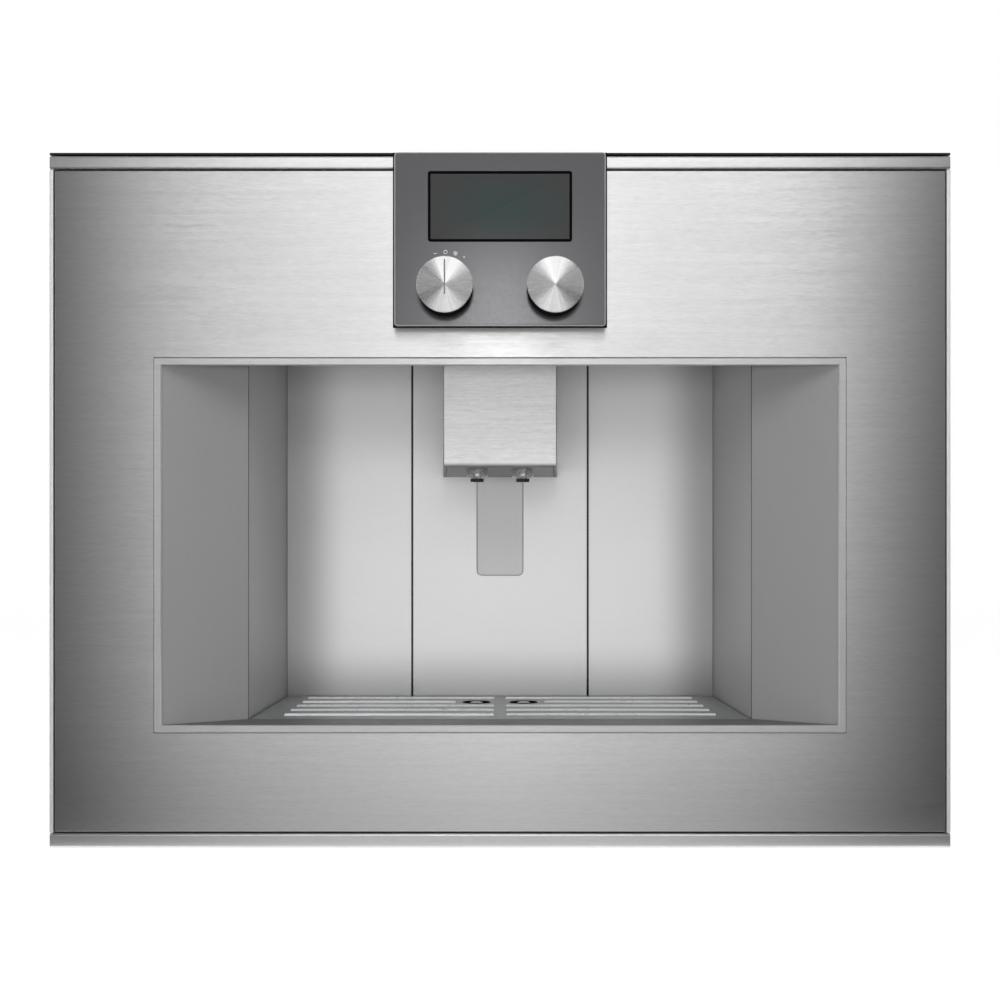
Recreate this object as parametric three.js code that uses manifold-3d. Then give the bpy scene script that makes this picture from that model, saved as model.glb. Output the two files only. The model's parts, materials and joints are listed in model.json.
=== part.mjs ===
// A built-in coffee machine for a 45 cm kitchen niche: a steel door with a splayed cup niche, a coffee
// outlet that slides on two rods, a drip drawer, tanks behind the door and the works behind the niche.
// Millimetres, +Z up, -Y is the front. The origin is the middle of the whole, on the plane of the feet.
import * as THREE from "three";
import { mergeVertices } from "three/addons/utils/BufferGeometryUtils.js";
import Module from "manifold-3d";

const wasm = await Module();
wasm.setup();

// ---- Fits -------------------------------------------------------------------------------------------
const FIT = 0.3; // between two pieces that touch
const PLAY = 0.8; // round a piece that slides or turns
const SHADOW_GAP = 1.3; // between the door's skin and its edge trims
const PANEL_GAP = 1.6; // between the panels of the niche's back

// ---- Walls ------------------------------------------------------------------------------------------
const SHEET = 1.5; // sheet steel
const WALL = 2.5; // moulded plastic

// ---- Niche ------------------------------------------------------------------------------------------
const NICHE_HALF_WIDTH = 172;
const NICHE_DEPTH = 205;
const CENTRE_PANEL_HALF_WIDTH = 70;
const BACK_PANEL_LIFT = 2; // of the back panels above the grate

// ---- Body -------------------------------------------------------------------------------------------
const FOOT_HEIGHT = 4;
const FOOT_WIDTH = 20;
const FOOT_INSET = 28; // from the side of the body
const FOOT_FROM_END = 15; // of the body, front and back
const BAY_WIDTH = 102; // of the bays beside the niche
const TOP_SPACE = 92; // between the top deck and the top cover
const DRAWER_HEIGHT = 74.4;
const GRATE_THICKNESS = 2.5;
const WORKS_MARGIN = 21.4; // between the steam boiler and the rear cover
const VENT_WIDTH = 5;
const VENT_LENGTH = 60;
const VENT_PITCH = 14;
const VENT_COUNT = 9;

// ---- Front frame and door ---------------------------------------------------------------------------
const DOOR_DEPTH = 42;
const DOOR_GAP = 1;
const FRAME_DEPTH = 4;
const DOOR_SIDE_OVERLAP = 18; // of the door over the body at each side
const DOOR_TOP_OVERLAP = 9;
const DOOR_BOTTOM_DROP = 1; // of the door's lower edge below the base plate
const FRAME_TOP_STRIP = 1.5; // of the frame, which reaches forward over the door
const FRAME_STRIP_SETBACK = 1; // of the strip behind the door's face
const FRAME_LEFT_INSET = 11; // leaves the hinge side free
const WINDOW_LIP = 2; // of the frame over the edges of a bay
const FRAME_NICHE_LIP = 0.5; // of the frame over the niche's side walls
const FRAME_RIB = 1; // of the frame's edges, behind its back, to bear on the cabinet
const FRAME_RIB_GAP = 2.5; // between a rib and the body's side
const TOP_TRIM_HEIGHT = 8.5;
const BOTTOM_TRIM_HEIGHT = 9.5;
const SIDE_TRIM_WIDTH = 2.5;
const SIDE_TRIM_DEPTH = 36;
const TRIM_ROUNDING = 1.6;

const APERTURE_HALF_WIDTH = 221.4;
const APERTURE_HEIGHT = 235.3;
const APERTURE_LIFT = 0.5; // of its lower edge above the niche floor
const APERTURE_DROP = 33.2; // of its upper edge below the niche's ceiling
const NICHE_TRIM_WIDTH = 5.1;
const NICHE_TRIM_PROUD = 1;
const REVEAL_THICKNESS = 2;
const REVEAL_RISE = 17; // of the upper reveal towards the back
const REVEAL_LIP = 1; // of the reveal past the niche's side walls

// ---- Display and knobs ------------------------------------------------------------------------------
const DISPLAY_WIDTH = 137;
const DISPLAY_HEIGHT = 112.7;
const DISPLAY_PROUD = 12;
const DISPLAY_DROP = 0.4; // of its upper edge below the door's
const DISPLAY_CORNER = 2;
const HOUSING_INSET = 1.7; // of the black housing behind the plate
const HOUSING_BOSS_INSET = 13; // of the part that goes through the skin
const HOUSING_BOSS_DEPTH = 28;
const SCREEN_WIDTH = 93;
const SCREEN_HEIGHT = 45.3;
const SCREEN_DROP = 12.6; // below the plate's upper edge
const SCREEN_CORNER = 1.5;
const KNOB_RADIUS = 18;
const KNOB_HEIGHT = 18.5;
const KNOB_HALF_PITCH = 35.3;
const KNOB_LIFT = 23.9; // of the knobs' axes above the plate's lower edge
const KNOB_CHAMFER = 1.2;
const KNOB_DISH = 0.8;
const KNOB_SHAFT_RADIUS = 3;
const KNOB_SHAFT_LENGTH = 14;

// ---- Hinges -----------------------------------------------------------------------------------------
const HINGE_LENGTH = 76;
const HINGE_FROM_END = 60; // of each hinge from the door's upper and lower edge
const HINGE_AXIS_INSET = 4.5; // from the door's left side
const HINGE_AXIS_BEHIND = 2; // the back of the door
const KNUCKLE_RADIUS = 3.2;
const PIN_RADIUS = 1.5;
const PIN_PLAY = 0.6;
const KNUCKLE_LENGTH = 20; // of each of the bracket's two knuckles
const HINGE_PLATE = 1.6;
const HINGE_PLATE_WIDTH = 21;
const HINGE_POCKET_DEPTH = 5.5;

// ---- Coffee outlet ----------------------------------------------------------------------------------
const OUTLET_FRONT = 68; // behind the front of the niche
const OUTLET_FRONT_HALF_WIDTH = 40.6;
const OUTLET_BACK_HALF_WIDTH = 46;
const OUTLET_HEIGHT = 89;
const OUTLET_HEADROOM = 3.7;
const OUTLET_WALL = 2;
const OUTLET_REAR_GAP = 1.5;
const OUTLET_BASE_THICKNESS = 4;
const OUTLET_TRAVEL = 75;
const NOZZLE_HALF_PITCH = 17;
const NOZZLE_FROM_FRONT = 35;
const NOZZLE_RADIUS = 5.2;
const NOZZLE_BORE_RADIUS = 2.6;
const NOZZLE_LENGTH = 9;
const NOZZLE_TAPER = 0.8;
const NOZZLE_FLANGE = 2;
const RECESS_RADIUS = 8;
const RECESS_DEPTH = 2;
const SLOT_HALF_WIDTH = 18.2;
const SLOT_CORNER = 3.5;
const SLOT_BELOW_CARRIAGE = 48; // at the outlet's lowest place
const SLOT_TOP_BAR = 5;
const BLIND_OVERLAP = 4; // of the blind past the slot's edges
const ROD_RADIUS = 3;
const ROD_HALF_PITCH = 31;
const LUG_HEIGHT = 6;
const LUG_EDGE = 4; // of the lugs and the carriage outside the rods
const CARRIAGE_DEPTH = 13;
const CARRIAGE_HEIGHT = 38;
const STEM_HALF_WIDTH = 14;
const GUIDE_MARGIN = 24; // of the guide frame past the centre panel

// ---- Drip drawer and grate --------------------------------------------------------------------------
const DRAWER_SIDE_PLAY = 1.5;
const GRATE_FRONT_GAP = 1.5;
const GRATE_ROWS = 5;
const GRATE_PITCH = 36;
const GRATE_LAST_ROW = 31; // of the last row from the niche's back
const BAR_WIDTH = 6;
const BAR_HEIGHT = 1.4;
const BAR_SLOT_WIDTH = 4;
const BAR_SLOT_GAP = 1.5; // between a bar and the slot behind it
const BAR_END = 21; // from the niche's side wall
const BRIDGE_HALF_WIDTH = 4.5;
const DRAIN_HALF_PITCH = 18;
const DRAIN_RADIUS = 10.6;
const DRAIN_RIM = 1.6;
const DRAIN_DOME_RADIUS = 5.7;
const DRAIN_ROW = 1; // the row, counted from the back, that the drains lie in
const DRAIN_BAR_GAP = 5.5; // between a drain and the bars beside it
const GROUNDS_WIDTH = 104;
const GROUNDS_INSET = 5;

// ---- Containers -------------------------------------------------------------------------------------
const CONTAINER_FRONT_GAP = 0.5; // behind the front of the frame
const CONTAINER_LID = 5;
const CONTAINER_CORNER = 8;
const MILK_HEIGHT = 98;
const MILK_DEPTH = 186;
const TANK_LEDGE = 8;
const TANK_REAR_GAP = 8;
const BEAN_WIDTH = 154;
const BEAN_DEPTH = 282;
const BEAN_CENTRE_GAP = 3; // between it and the blind
const HOPPER_RADIUS = 15;

// ---- Works ------------------------------------------------------------------------------------------
const STEAM_BOILER_RADIUS = 48;
const STEAM_BOILER_HEIGHT = 140;
const BREW_BOILER_RADIUS = 32;
const BREW_BOILER_HEIGHT = 110;
const WORKS_SPACING = 12; // between neighbours behind the niche
const SHELF_HEIGHT = 113; // above the base plate
const SHELF_FOLD = 12;
const GRINDER_WIDTH = 90;
const GRINDER_HEIGHT = 80;
const GRINDER_MOTOR_RADIUS = 32;
const GRINDER_MOTOR_HEIGHT = 118;
const PUMP_RADIUS = 24;
const PUMP_LENGTH = 110;
const PUMP_FOOT = 8;
const BREW_UNIT_WIDTH = 74;
const BREW_UNIT_FROM_FRONT = 13;
const BREW_UNIT_DEPTH = 190;
const BREW_UNIT_HEIGHT = 180;
const BREW_UNIT_LEG = 34;
const BREW_CHAMBER_RADIUS = 28;
const BREW_CHAMBER_HEIGHT = 46;
const BOARD_WIDTH = 210;
const BOARD_DEPTH = 260;
const BOARD_FROM_FRONT = 30;
const BOARD_HEIGHT = 6;
const COMPONENT_HEIGHT = 24;
const INLET_WIDTH = 34;
const INLET_HEIGHT = 26;
const INLET_DEPTH = 30;
const INLET_WALL = 4;
const INLET_LIFT = 18;
const INLET_FROM_PARTITION = 30;

// ---- Places worked out from the sizes ---------------------------------------------------------------
const BODY_HALF_WIDTH = NICHE_HALF_WIDTH + SHEET + BAY_WIDTH + SHEET;
const BAY_INNER_X = NICHE_HALF_WIDTH + SHEET;
const BAY_OUTER_X = BAY_INNER_X + BAY_WIDTH;
const DOOR_HALF_WIDTH = BODY_HALF_WIDTH + DOOR_SIDE_OVERLAP;

const FRAME_Y = DOOR_DEPTH + DOOR_GAP;
const BODY_Y = FRAME_Y + FRAME_DEPTH;
const NICHE_BACK_Y = BODY_Y + NICHE_DEPTH;
const GUIDE_Y = NICHE_BACK_Y + SHEET + FIT;
const GUIDE_BACK_Y = GUIDE_Y + SHEET;
const CARRIAGE_BACK_Y = GUIDE_BACK_Y + PLAY + CARRIAGE_DEPTH;
const BOILER_Y = CARRIAGE_BACK_Y + WORKS_SPACING + STEAM_BOILER_RADIUS;
const REAR_Y = BOILER_Y + STEAM_BOILER_RADIUS + WORKS_MARGIN;
const BODY_BACK_Y = REAR_Y + SHEET;

const BASE_TOP_Z = FOOT_HEIGHT + SHEET;
const DRAWER_Z = BASE_TOP_Z + FIT;
const DRAWER_TOP_Z = DRAWER_Z + DRAWER_HEIGHT;
const GRATE_Z = DRAWER_TOP_Z + FIT;
const FLOOR_Z = GRATE_Z + GRATE_THICKNESS;
const APERTURE_Z = FLOOR_Z + APERTURE_LIFT;
const APERTURE_TOP_Z = APERTURE_Z + APERTURE_HEIGHT;
const NICHE_TOP_Z = APERTURE_TOP_Z + APERTURE_DROP;
const DECK_TOP_Z = NICHE_TOP_Z + SHEET;
const COVER_Z = DECK_TOP_Z + TOP_SPACE;
const BODY_TOP_Z = COVER_Z + SHEET;
const DOOR_Z = FOOT_HEIGHT - DOOR_BOTTOM_DROP;
const DOOR_TOP_Z = BODY_TOP_Z + DOOR_TOP_OVERLAP;
const LINER_Z = DOOR_Z + BOTTOM_TRIM_HEIGHT + FIT;
const LINER_TOP_Z = DOOR_TOP_Z - TOP_TRIM_HEIGHT - FIT;
const LINER_HALF_WIDTH = DOOR_HALF_WIDTH - SIDE_TRIM_WIDTH - FIT;
const LINER_Y = SHEET + FIT;

const REVEAL_BACK_HALF_WIDTH = NICHE_HALF_WIDTH - REVEAL_LIP;

const DISPLAY_TOP_Z = DOOR_TOP_Z - DISPLAY_DROP;
const DISPLAY_Z = DISPLAY_TOP_Z - DISPLAY_HEIGHT;
const DISPLAY_PLATE_BACK_Y = -DISPLAY_PROUD + SHEET;
const SCREEN_TOP_Z = DISPLAY_TOP_Z - SCREEN_DROP;
const KNOB_Z = DISPLAY_Z + KNOB_LIFT;
const KNOB_FRONT_Y = -DISPLAY_PROUD - PLAY - KNOB_HEIGHT;
const BOSS_X = [-DISPLAY_WIDTH / 2 + HOUSING_BOSS_INSET, DISPLAY_WIDTH / 2 - HOUSING_BOSS_INSET];
const BOSS_Z = [DISPLAY_Z + HOUSING_BOSS_INSET, DISPLAY_TOP_Z - HOUSING_BOSS_INSET];

const HINGE_X = -DOOR_HALF_WIDTH + HINGE_AXIS_INSET;
const HINGE_Y = DOOR_DEPTH + HINGE_AXIS_BEHIND;
const POCKET_Y = DOOR_DEPTH - HINGE_POCKET_DEPTH;
const HINGE_CENTRES_Z = {
  lower: DOOR_Z + HINGE_FROM_END + HINGE_LENGTH / 2,
  upper: DOOR_TOP_Z - HINGE_FROM_END - HINGE_LENGTH / 2,
};

const OUTLET_Y = BODY_Y + OUTLET_FRONT;
const OUTLET_BACK_Y = NICHE_BACK_Y - OUTLET_REAR_GAP;
const OUTLET_TOP_Z = NICHE_TOP_Z - OUTLET_HEADROOM;
const OUTLET_Z = OUTLET_TOP_Z - OUTLET_HEIGHT;
const NOZZLE_Y = OUTLET_Y + NOZZLE_FROM_FRONT;
const CARRIAGE_TOP_Z = OUTLET_TOP_Z - LUG_HEIGHT - PLAY;
const CARRIAGE_Z = CARRIAGE_TOP_Z - CARRIAGE_HEIGHT;
const UPPER_LUG_Z = CARRIAGE_TOP_Z + PLAY;
const FLANGE_Z = OUTLET_Z + OUTLET_BASE_THICKNESS;
const ROD_Y = (GUIDE_BACK_Y + PLAY + CARRIAGE_BACK_Y) / 2;
const BLIND_HALF_WIDTH = SLOT_HALF_WIDTH + BLIND_OVERLAP;
const SLOT_Z = CARRIAGE_Z - OUTLET_TRAVEL - SLOT_BELOW_CARRIAGE;
const SLOT_TOP_Z = NICHE_TOP_Z - FIT - SLOT_TOP_BAR;
const GUIDE_Z = SLOT_Z - OUTLET_TRAVEL - BLIND_OVERLAP - PLAY - LUG_HEIGHT;
const BACK_PANEL_Y = [NICHE_BACK_Y, NICHE_BACK_Y + SHEET];
const BACK_PANEL_Z = [FLOOR_Z + BACK_PANEL_LIFT, NICHE_TOP_Z - FIT];

const DRAWER_HALF_WIDTH = NICHE_HALF_WIDTH - DRAWER_SIDE_PLAY;
const DRAIN_Y = NICHE_BACK_Y - GRATE_LAST_ROW - DRAIN_ROW * GRATE_PITCH;
const CONTAINER_Y = FRAME_Y + CONTAINER_FRONT_GAP;
const TANK_Z = BASE_TOP_Z + FIT + MILK_HEIGHT + 2 * FIT + CONTAINER_LID + SHEET + PLAY;
const SHELF_Z = BASE_TOP_Z + SHELF_HEIGHT;
const LEDGE_Z = [TANK_Z - FIT - SHEET, TANK_Z - FIT];
const BEAN_X = -BLIND_HALF_WIDTH - BEAN_CENTRE_GAP - BEAN_WIDTH;

// ---- Finishes ---------------------------------------------------------------------------------------
const paint = (color, roughness, metalness) =>
  new THREE.MeshStandardMaterial({ color, roughness, metalness });
const brushedSteel = paint(0xb4b2ad, 0.35, 1);
const brightSteel = paint(0xd8d8d6, 0.2, 1);
const greyPanel = paint(0x8b8a87, 0.5, 0.6);
const galvanised = paint(0x9a9ca0, 0.5, 0.9);
const blackPlastic = paint(0x17181a, 0.5, 0);
const greyPlastic = paint(0x5d5f62, 0.5, 0);
const clearPlastic = paint(0xc3cdd0, 0.15, 0);
const screenGlass = paint(0x3e4846, 0.1, 0);
const copperBoiler = paint(0xb98a5a, 0.4, 1);
const greenBoard = paint(0x2c5b3a, 0.6, 0);
const rubber = paint(0x202020, 0.9, 0);

// ---- Shapes -----------------------------------------------------------------------------------------
const machine = new THREE.Group();

// A closed three.js geometry as a solid that can be joined and cut.
function solid(geometry) {
  const bare = geometry.clone();
  bare.deleteAttribute("normal");
  bare.deleteAttribute("uv");
  const merged = mergeVertices(bare, 1e-4);
  const corners = merged.index.array;
  const triVerts = new Uint32Array(corners.length);
  let used = 0;
  for (let i = 0; i < corners.length; i += 3) {
    const [a, b, c] = [corners[i], corners[i + 1], corners[i + 2]];
    if (a === b || b === c || c === a) continue; // closed up to a line at a turned shape's axis
    triVerts.set([a, b, c], used);
    used += 3;
  }
  const vertProperties = new Float32Array(merged.attributes.position.array);
  return new wasm.Manifold(new wasm.Mesh({ numProp: 3, vertProperties, triVerts: triVerts.slice(0, used) }));
}

const AXES = { x: new THREE.Vector3(1, 0, 0), y: new THREE.Vector3(0, 1, 0), z: new THREE.Vector3(0, 0, 1) };
const SIDES = [[-1, "left"], [1, "right"]];

// A range on the right-hand side of the machine, or its mirror image on the left.
const across = (side, [from, to]) => (side > 0 ? [from, to] : [-to, -from]);

// A range made longer at both ends, or shorter.
const grown = ([from, to], margin) => [from - margin, to + margin];

const join = (first, ...others) => others.reduce((sum, other) => sum.add(other), first);
const cut = (first, ...others) => others.reduce((rest, other) => rest.subtract(other), first);

// A named piece of the machine, in the given finish.
function piece(name, shape, material) {
  const { vertProperties, triVerts } = shape.getMesh();
  const geometry = new THREE.BufferGeometry();
  geometry.setAttribute("position", new THREE.BufferAttribute(vertProperties, 3));
  geometry.setIndex(new THREE.BufferAttribute(triVerts, 1));
  const faceted = geometry.toNonIndexed();
  faceted.computeVertexNormals();
  const mesh = new THREE.Mesh(faceted, material);
  mesh.name = name;
  machine.add(mesh);
}

// A box between two values along each axis.
function block([x0, x1], [y0, y1], [z0, z1]) {
  const geometry = new THREE.BoxGeometry(x1 - x0, y1 - y0, z1 - z0);
  return solid(geometry.translate((x0 + x1) / 2, (y0 + y1) / 2, (z0 + z1) / 2));
}

// A block whose front and back are two rectangles of different sizes: { x: [lo, hi], z: [lo, hi] }.
function taper(front, back, [y0, y1]) {
  const corner = ({ x, z }, y) => [x[0], y, z[0], x[1], y, z[0], x[1], y, z[1], x[0], y, z[1]];
  const geometry = new THREE.BufferGeometry();
  const corners = new Float32Array([...corner(front, y0), ...corner(back, y1)]);
  geometry.setAttribute("position", new THREE.BufferAttribute(corners, 3));
  const sides = [0, 1, 2, 3].flatMap((i) => {
    const next = (i + 1) % 4;
    return [i, i + 4, next, next, i + 4, next + 4];
  });
  geometry.setIndex([0, 1, 2, 0, 2, 3, 4, 6, 5, 4, 7, 6, ...sides]);
  return solid(geometry);
}

// A round bar of one radius along an axis, from one value to another on it.
const TURN = { x: [0, 0, -Math.PI / 2], y: [0, 0, 0], z: [Math.PI / 2, 0, 0] };
function rod(axis, [x, y, z], radius, [from, to], sides = 24) {
  const geometry = new THREE.CylinderGeometry(radius, radius, to - from, sides);
  const turn = new THREE.Matrix4().makeRotationFromEuler(new THREE.Euler(...TURN[axis]));
  const centre = { x, y, z, [axis]: (from + to) / 2 };
  return solid(geometry.applyMatrix4(turn).translate(centre.x, centre.y, centre.z));
}

// A turned shape: [radius, height] points round an upright axis, or round one that runs to the front.
function turned(points, [x, y, z], { sides = 24, forward = false } = {}) {
  const geometry = new THREE.LatheGeometry(
    points.map(([radius, height]) => new THREE.Vector2(radius, height)),
    sides,
  );
  geometry.rotateX(forward ? Math.PI : Math.PI / 2);
  return solid(geometry.translate(x, y, z));
}

// A rectangle with rounded corners.
function roundedOutline([u0, u1], [v0, v1], corner) {
  const shape = new THREE.Shape();
  shape.moveTo(u0 + corner, v0);
  shape.absarc(u1 - corner, v0 + corner, corner, -Math.PI / 2, 0, false);
  shape.absarc(u1 - corner, v1 - corner, corner, 0, Math.PI / 2, false);
  shape.absarc(u0 + corner, v1 - corner, corner, Math.PI / 2, Math.PI, false);
  shape.absarc(u0 + corner, v0 + corner, corner, Math.PI, Math.PI * 1.5, false);
  return shape;
}

const extruded = (shape, depth) =>
  new THREE.ExtrudeGeometry(shape, { depth, bevelEnabled: false, curveSegments: 2 });

// A plate with rounded corners in the front view.
function panel(x, [y0, y1], z, corner) {
  return solid(extruded(roundedOutline(x, z, corner), y1 - y0).rotateX(Math.PI / 2).translate(0, y1, 0));
}

// A block with rounded corners in the plan.
function tub(x, y, [z0, z1], corner) {
  return solid(extruded(roundedOutline(x, y, corner), z1 - z0).translate(0, 0, z0));
}

// The same, hollow and open at the top.
function openTub(x, y, z, wall) {
  const inside = tub(grown(x, -wall), grown(y, -wall), [z[0] + wall, z[1] + 1], CONTAINER_CORNER - wall);
  return cut(tub(x, y, z, CONTAINER_CORNER), inside);
}

// ---- Housing ----------------------------------------------------------------------------------------
const WINDOW_Z = DRAWER_Z - PLAY;
const WINDOW_TOP_Z = NICHE_TOP_Z - WINDOW_LIP;
const BAY_WINDOW_X = [BAY_INNER_X + WINDOW_LIP, BAY_OUTER_X - WINDOW_LIP];
const BEAN_TOP_Z = COVER_Z - WINDOW_LIP - PLAY;
const BEAN_REAR_Y = CONTAINER_Y + BEAN_DEPTH;
const HOPPER = {
  x: -NICHE_HALF_WIDTH + WORKS_SPACING + GRINDER_WIDTH / 2,
  y: BEAN_REAR_Y - HOPPER_RADIUS - 2 * WALL,
};
const INLET_X = [BAY_INNER_X + INLET_FROM_PARTITION, BAY_INNER_X + INLET_FROM_PARTITION + INLET_WIDTH];
const INLET_Z = [BASE_TOP_Z + INLET_LIFT, BASE_TOP_Z + INLET_LIFT + INLET_HEIGHT];

function buildHousing() {
  const width = [-BODY_HALF_WIDTH, BODY_HALF_WIDTH];
  const depth = [BODY_Y + FIT, REAR_Y - FIT];
  piece("base_plate", block(width, [BODY_Y + FIT, BODY_BACK_Y], [FOOT_HEIGHT, BASE_TOP_Z]), galvanised);
  piece("top_cover", block(width, [BODY_Y + FIT, BODY_BACK_Y], [COVER_Z, BODY_TOP_Z]), galvanised);

  const vents = Array.from({ length: VENT_COUNT }, (_, i) => {
    const x = (i - (VENT_COUNT - 1) / 2) * VENT_PITCH;
    const z = NICHE_TOP_Z - VENT_LENGTH;
    const slit = [x - VENT_WIDTH / 2, x + VENT_WIDTH / 2];
    return block(slit, [REAR_Y - 1, BODY_BACK_Y + 1], [z, z + VENT_LENGTH]);
  });
  const inletHole = block(grown(INLET_X, FIT), [REAR_Y - 1, BODY_BACK_Y + 1], grown(INLET_Z, FIT));
  const rear = block(width, [REAR_Y, BODY_BACK_Y], [BASE_TOP_Z + FIT, COVER_Z - FIT]);
  piece("rear_cover", cut(rear, inletHole, ...vents), galvanised);

  for (const [side, name] of SIDES) {
    const rail = [BODY_HALF_WIDTH - FOOT_INSET - FOOT_WIDTH, BODY_HALF_WIDTH - FOOT_INSET];
    const length = [BODY_Y + FOOT_FROM_END, BODY_BACK_Y - FOOT_FROM_END];
    piece(`foot_rail_${name}`, block(across(side, rail), length, [0, FOOT_HEIGHT - FIT]), rubber);

    const height = [BASE_TOP_Z + FIT, COVER_Z - FIT];
    const sheet = block(across(side, [BAY_OUTER_X, BODY_HALF_WIDTH]), depth, height);
    const ledge = block(across(side, [BAY_OUTER_X - TANK_LEDGE, BAY_OUTER_X + 1]), depth, LEDGE_Z);
    piece(`${name}_side_panel`, side > 0 ? join(sheet, ledge) : sheet, galvanised);
  }
}

// The plate that carries the niche's ceiling, the bean container and the power board.
function buildTopDeck() {
  const width = [-BAY_OUTER_X + FIT, BAY_OUTER_X - FIT];
  const deck = block(width, [BODY_Y + FIT, REAR_Y - FIT], [NICHE_TOP_Z, DECK_TOP_Z]);
  const through = [NICHE_TOP_Z - 1, DECK_TOP_Z + 1];
  const blindX = [-BLIND_HALF_WIDTH - PLAY, BLIND_HALF_WIDTH + PLAY];
  const blindHole = block(blindX, [GUIDE_Y - FIT, GUIDE_BACK_Y + PLAY], through);
  const hopperHole = rod("z", [HOPPER.x, HOPPER.y, 0], HOPPER_RADIUS, through);
  piece("top_deck", cut(deck, blindHole, hopperHole), greyPanel);
}

// The frame behind the door: a plate with a window for the niche, each bay and the bean container, and a
// strip along its top that covers the door's upper edge.
function buildFrontFrame() {
  const through = [FRAME_Y - 1, BODY_Y + 1];
  const width = [-DOOR_HALF_WIDTH + FRAME_LEFT_INSET, DOOR_HALF_WIDTH];
  const stripZ = DOOR_TOP_Z + PLAY;
  const height = [DOOR_Z, stripZ + FRAME_TOP_STRIP];
  const plate = block(width, [FRAME_Y, BODY_Y], height);
  const strip = block([-DOOR_HALF_WIDTH, DOOR_HALF_WIDTH], [FRAME_STRIP_SETBACK, BODY_Y], [stripZ, height[1]]);
  const ribY = [BODY_Y - 1, BODY_Y + FRAME_RIB];
  const ribs = [
    block([width[0], -BODY_HALF_WIDTH - FRAME_RIB_GAP], ribY, height),
    block([BODY_HALF_WIDTH + FRAME_RIB_GAP, width[1]], ribY, height),
  ];
  const nicheHalf = NICHE_HALF_WIDTH - FRAME_NICHE_LIP;
  const bean = grown([BEAN_X, BEAN_X + BEAN_WIDTH], PLAY);
  const windows = [
    block([-nicheHalf, nicheHalf], through, [WINDOW_Z, WINDOW_TOP_Z]),
    block(bean, through, [DECK_TOP_Z + FIT - PLAY, BEAN_TOP_Z + PLAY]),
    ...SIDES.map(([side]) => block(across(side, BAY_WINDOW_X), through, [WINDOW_Z, WINDOW_TOP_Z])),
  ];
  piece("front_frame", join(cut(plate, ...windows), strip, ...ribs), blackPlastic);
}

// ---- Niche ------------------------------------------------------------------------------------------
function buildNiche() {
  for (const [side, name] of SIDES) {
    const depth = [BODY_Y + FIT, REAR_Y - FIT];
    const height = [BASE_TOP_Z + FIT, NICHE_TOP_Z - FIT];
    const sheet = block(across(side, [NICHE_HALF_WIDTH, BAY_INNER_X]), depth, height);
    const ledge = block(across(side, [BAY_INNER_X - 1, BAY_INNER_X + TANK_LEDGE]), depth, LEDGE_Z);
    piece(`niche_${name}_wall`, side > 0 ? join(sheet, ledge) : sheet, greyPanel);

    const beside = [CENTRE_PANEL_HALF_WIDTH + PANEL_GAP, NICHE_HALF_WIDTH - FIT];
    piece(`niche_back_${name}`, block(across(side, beside), BACK_PANEL_Y, BACK_PANEL_Z), greyPanel);
  }
  const centre = block([-CENTRE_PANEL_HALF_WIDTH, CENTRE_PANEL_HALF_WIDTH], BACK_PANEL_Y, BACK_PANEL_Z);
  const slotX = [-SLOT_HALF_WIDTH, SLOT_HALF_WIDTH];
  const slot = panel(slotX, grown(BACK_PANEL_Y, 1), [SLOT_Z, SLOT_TOP_Z], SLOT_CORNER);
  piece("niche_centre_panel", cut(centre, slot), greyPanel);
}

// ---- Coffee outlet ----------------------------------------------------------------------------------
function buildOutletGuide() {
  const halfWidth = CENTRE_PANEL_HALF_WIDTH + GUIDE_MARGIN;
  const lugX = [BLIND_HALF_WIDTH + PLAY, ROD_HALF_PITCH + ROD_RADIUS + LUG_EDGE];
  const lugDepth = [GUIDE_Y, CARRIAGE_BACK_Y];
  const plate = block([-halfWidth, halfWidth], [GUIDE_Y, GUIDE_BACK_Y], [GUIDE_Z, NICHE_TOP_Z - FIT]);
  const channel = block(
    [-BLIND_HALF_WIDTH - PLAY, BLIND_HALF_WIDTH + PLAY],
    [GUIDE_Y - 1, GUIDE_BACK_Y + 1],
    [GUIDE_Z + LUG_HEIGHT, NICHE_TOP_Z],
  );
  const lower = block([-lugX[1], lugX[1]], lugDepth, [GUIDE_Z, GUIDE_Z + LUG_HEIGHT]);
  const upperZ = [UPPER_LUG_Z, UPPER_LUG_Z + LUG_HEIGHT];
  const upper = SIDES.map(([side]) => block(across(side, lugX), lugDepth, upperZ));
  piece("outlet_guide_frame", join(cut(plate, channel), lower, ...upper), greyPlastic);

  for (const [side, name] of SIDES) {
    const ends = [GUIDE_Z + LUG_HEIGHT + FIT, UPPER_LUG_Z - FIT];
    const axis = [side * ROD_HALF_PITCH, ROD_Y, 0];
    piece(`guide_rod_${name}`, rod("z", axis, ROD_RADIUS, ends, 16), brightSteel);
  }
}

// The slide on the two rods, with the blind that closes the slot and the stem that holds the outlet.
function buildCarriage() {
  const halfWidth = ROD_HALF_PITCH + ROD_RADIUS + LUG_EDGE;
  const height = [CARRIAGE_Z, CARRIAGE_TOP_Z];
  const slide = block([-halfWidth, halfWidth], [GUIDE_BACK_Y + PLAY, CARRIAGE_BACK_Y], height);
  const bores = SIDES.map(([side]) =>
    rod("z", [side * ROD_HALF_PITCH, ROD_Y, 0], ROD_RADIUS + PLAY, grown(height, 1), 16),
  );
  const blind = block(
    [-BLIND_HALF_WIDTH, BLIND_HALF_WIDTH],
    [GUIDE_Y, GUIDE_BACK_Y],
    [SLOT_Z - BLIND_OVERLAP, SLOT_TOP_Z + BLIND_OVERLAP + OUTLET_TRAVEL],
  );
  const stemY = [OUTLET_BACK_Y + FIT, GUIDE_BACK_Y + PLAY + 1];
  const neck = block([-STEM_HALF_WIDTH, STEM_HALF_WIDTH], stemY, height);
  piece("outlet_carriage", join(cut(slide, ...bores), blind, neck), greyPanel);
}

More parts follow.
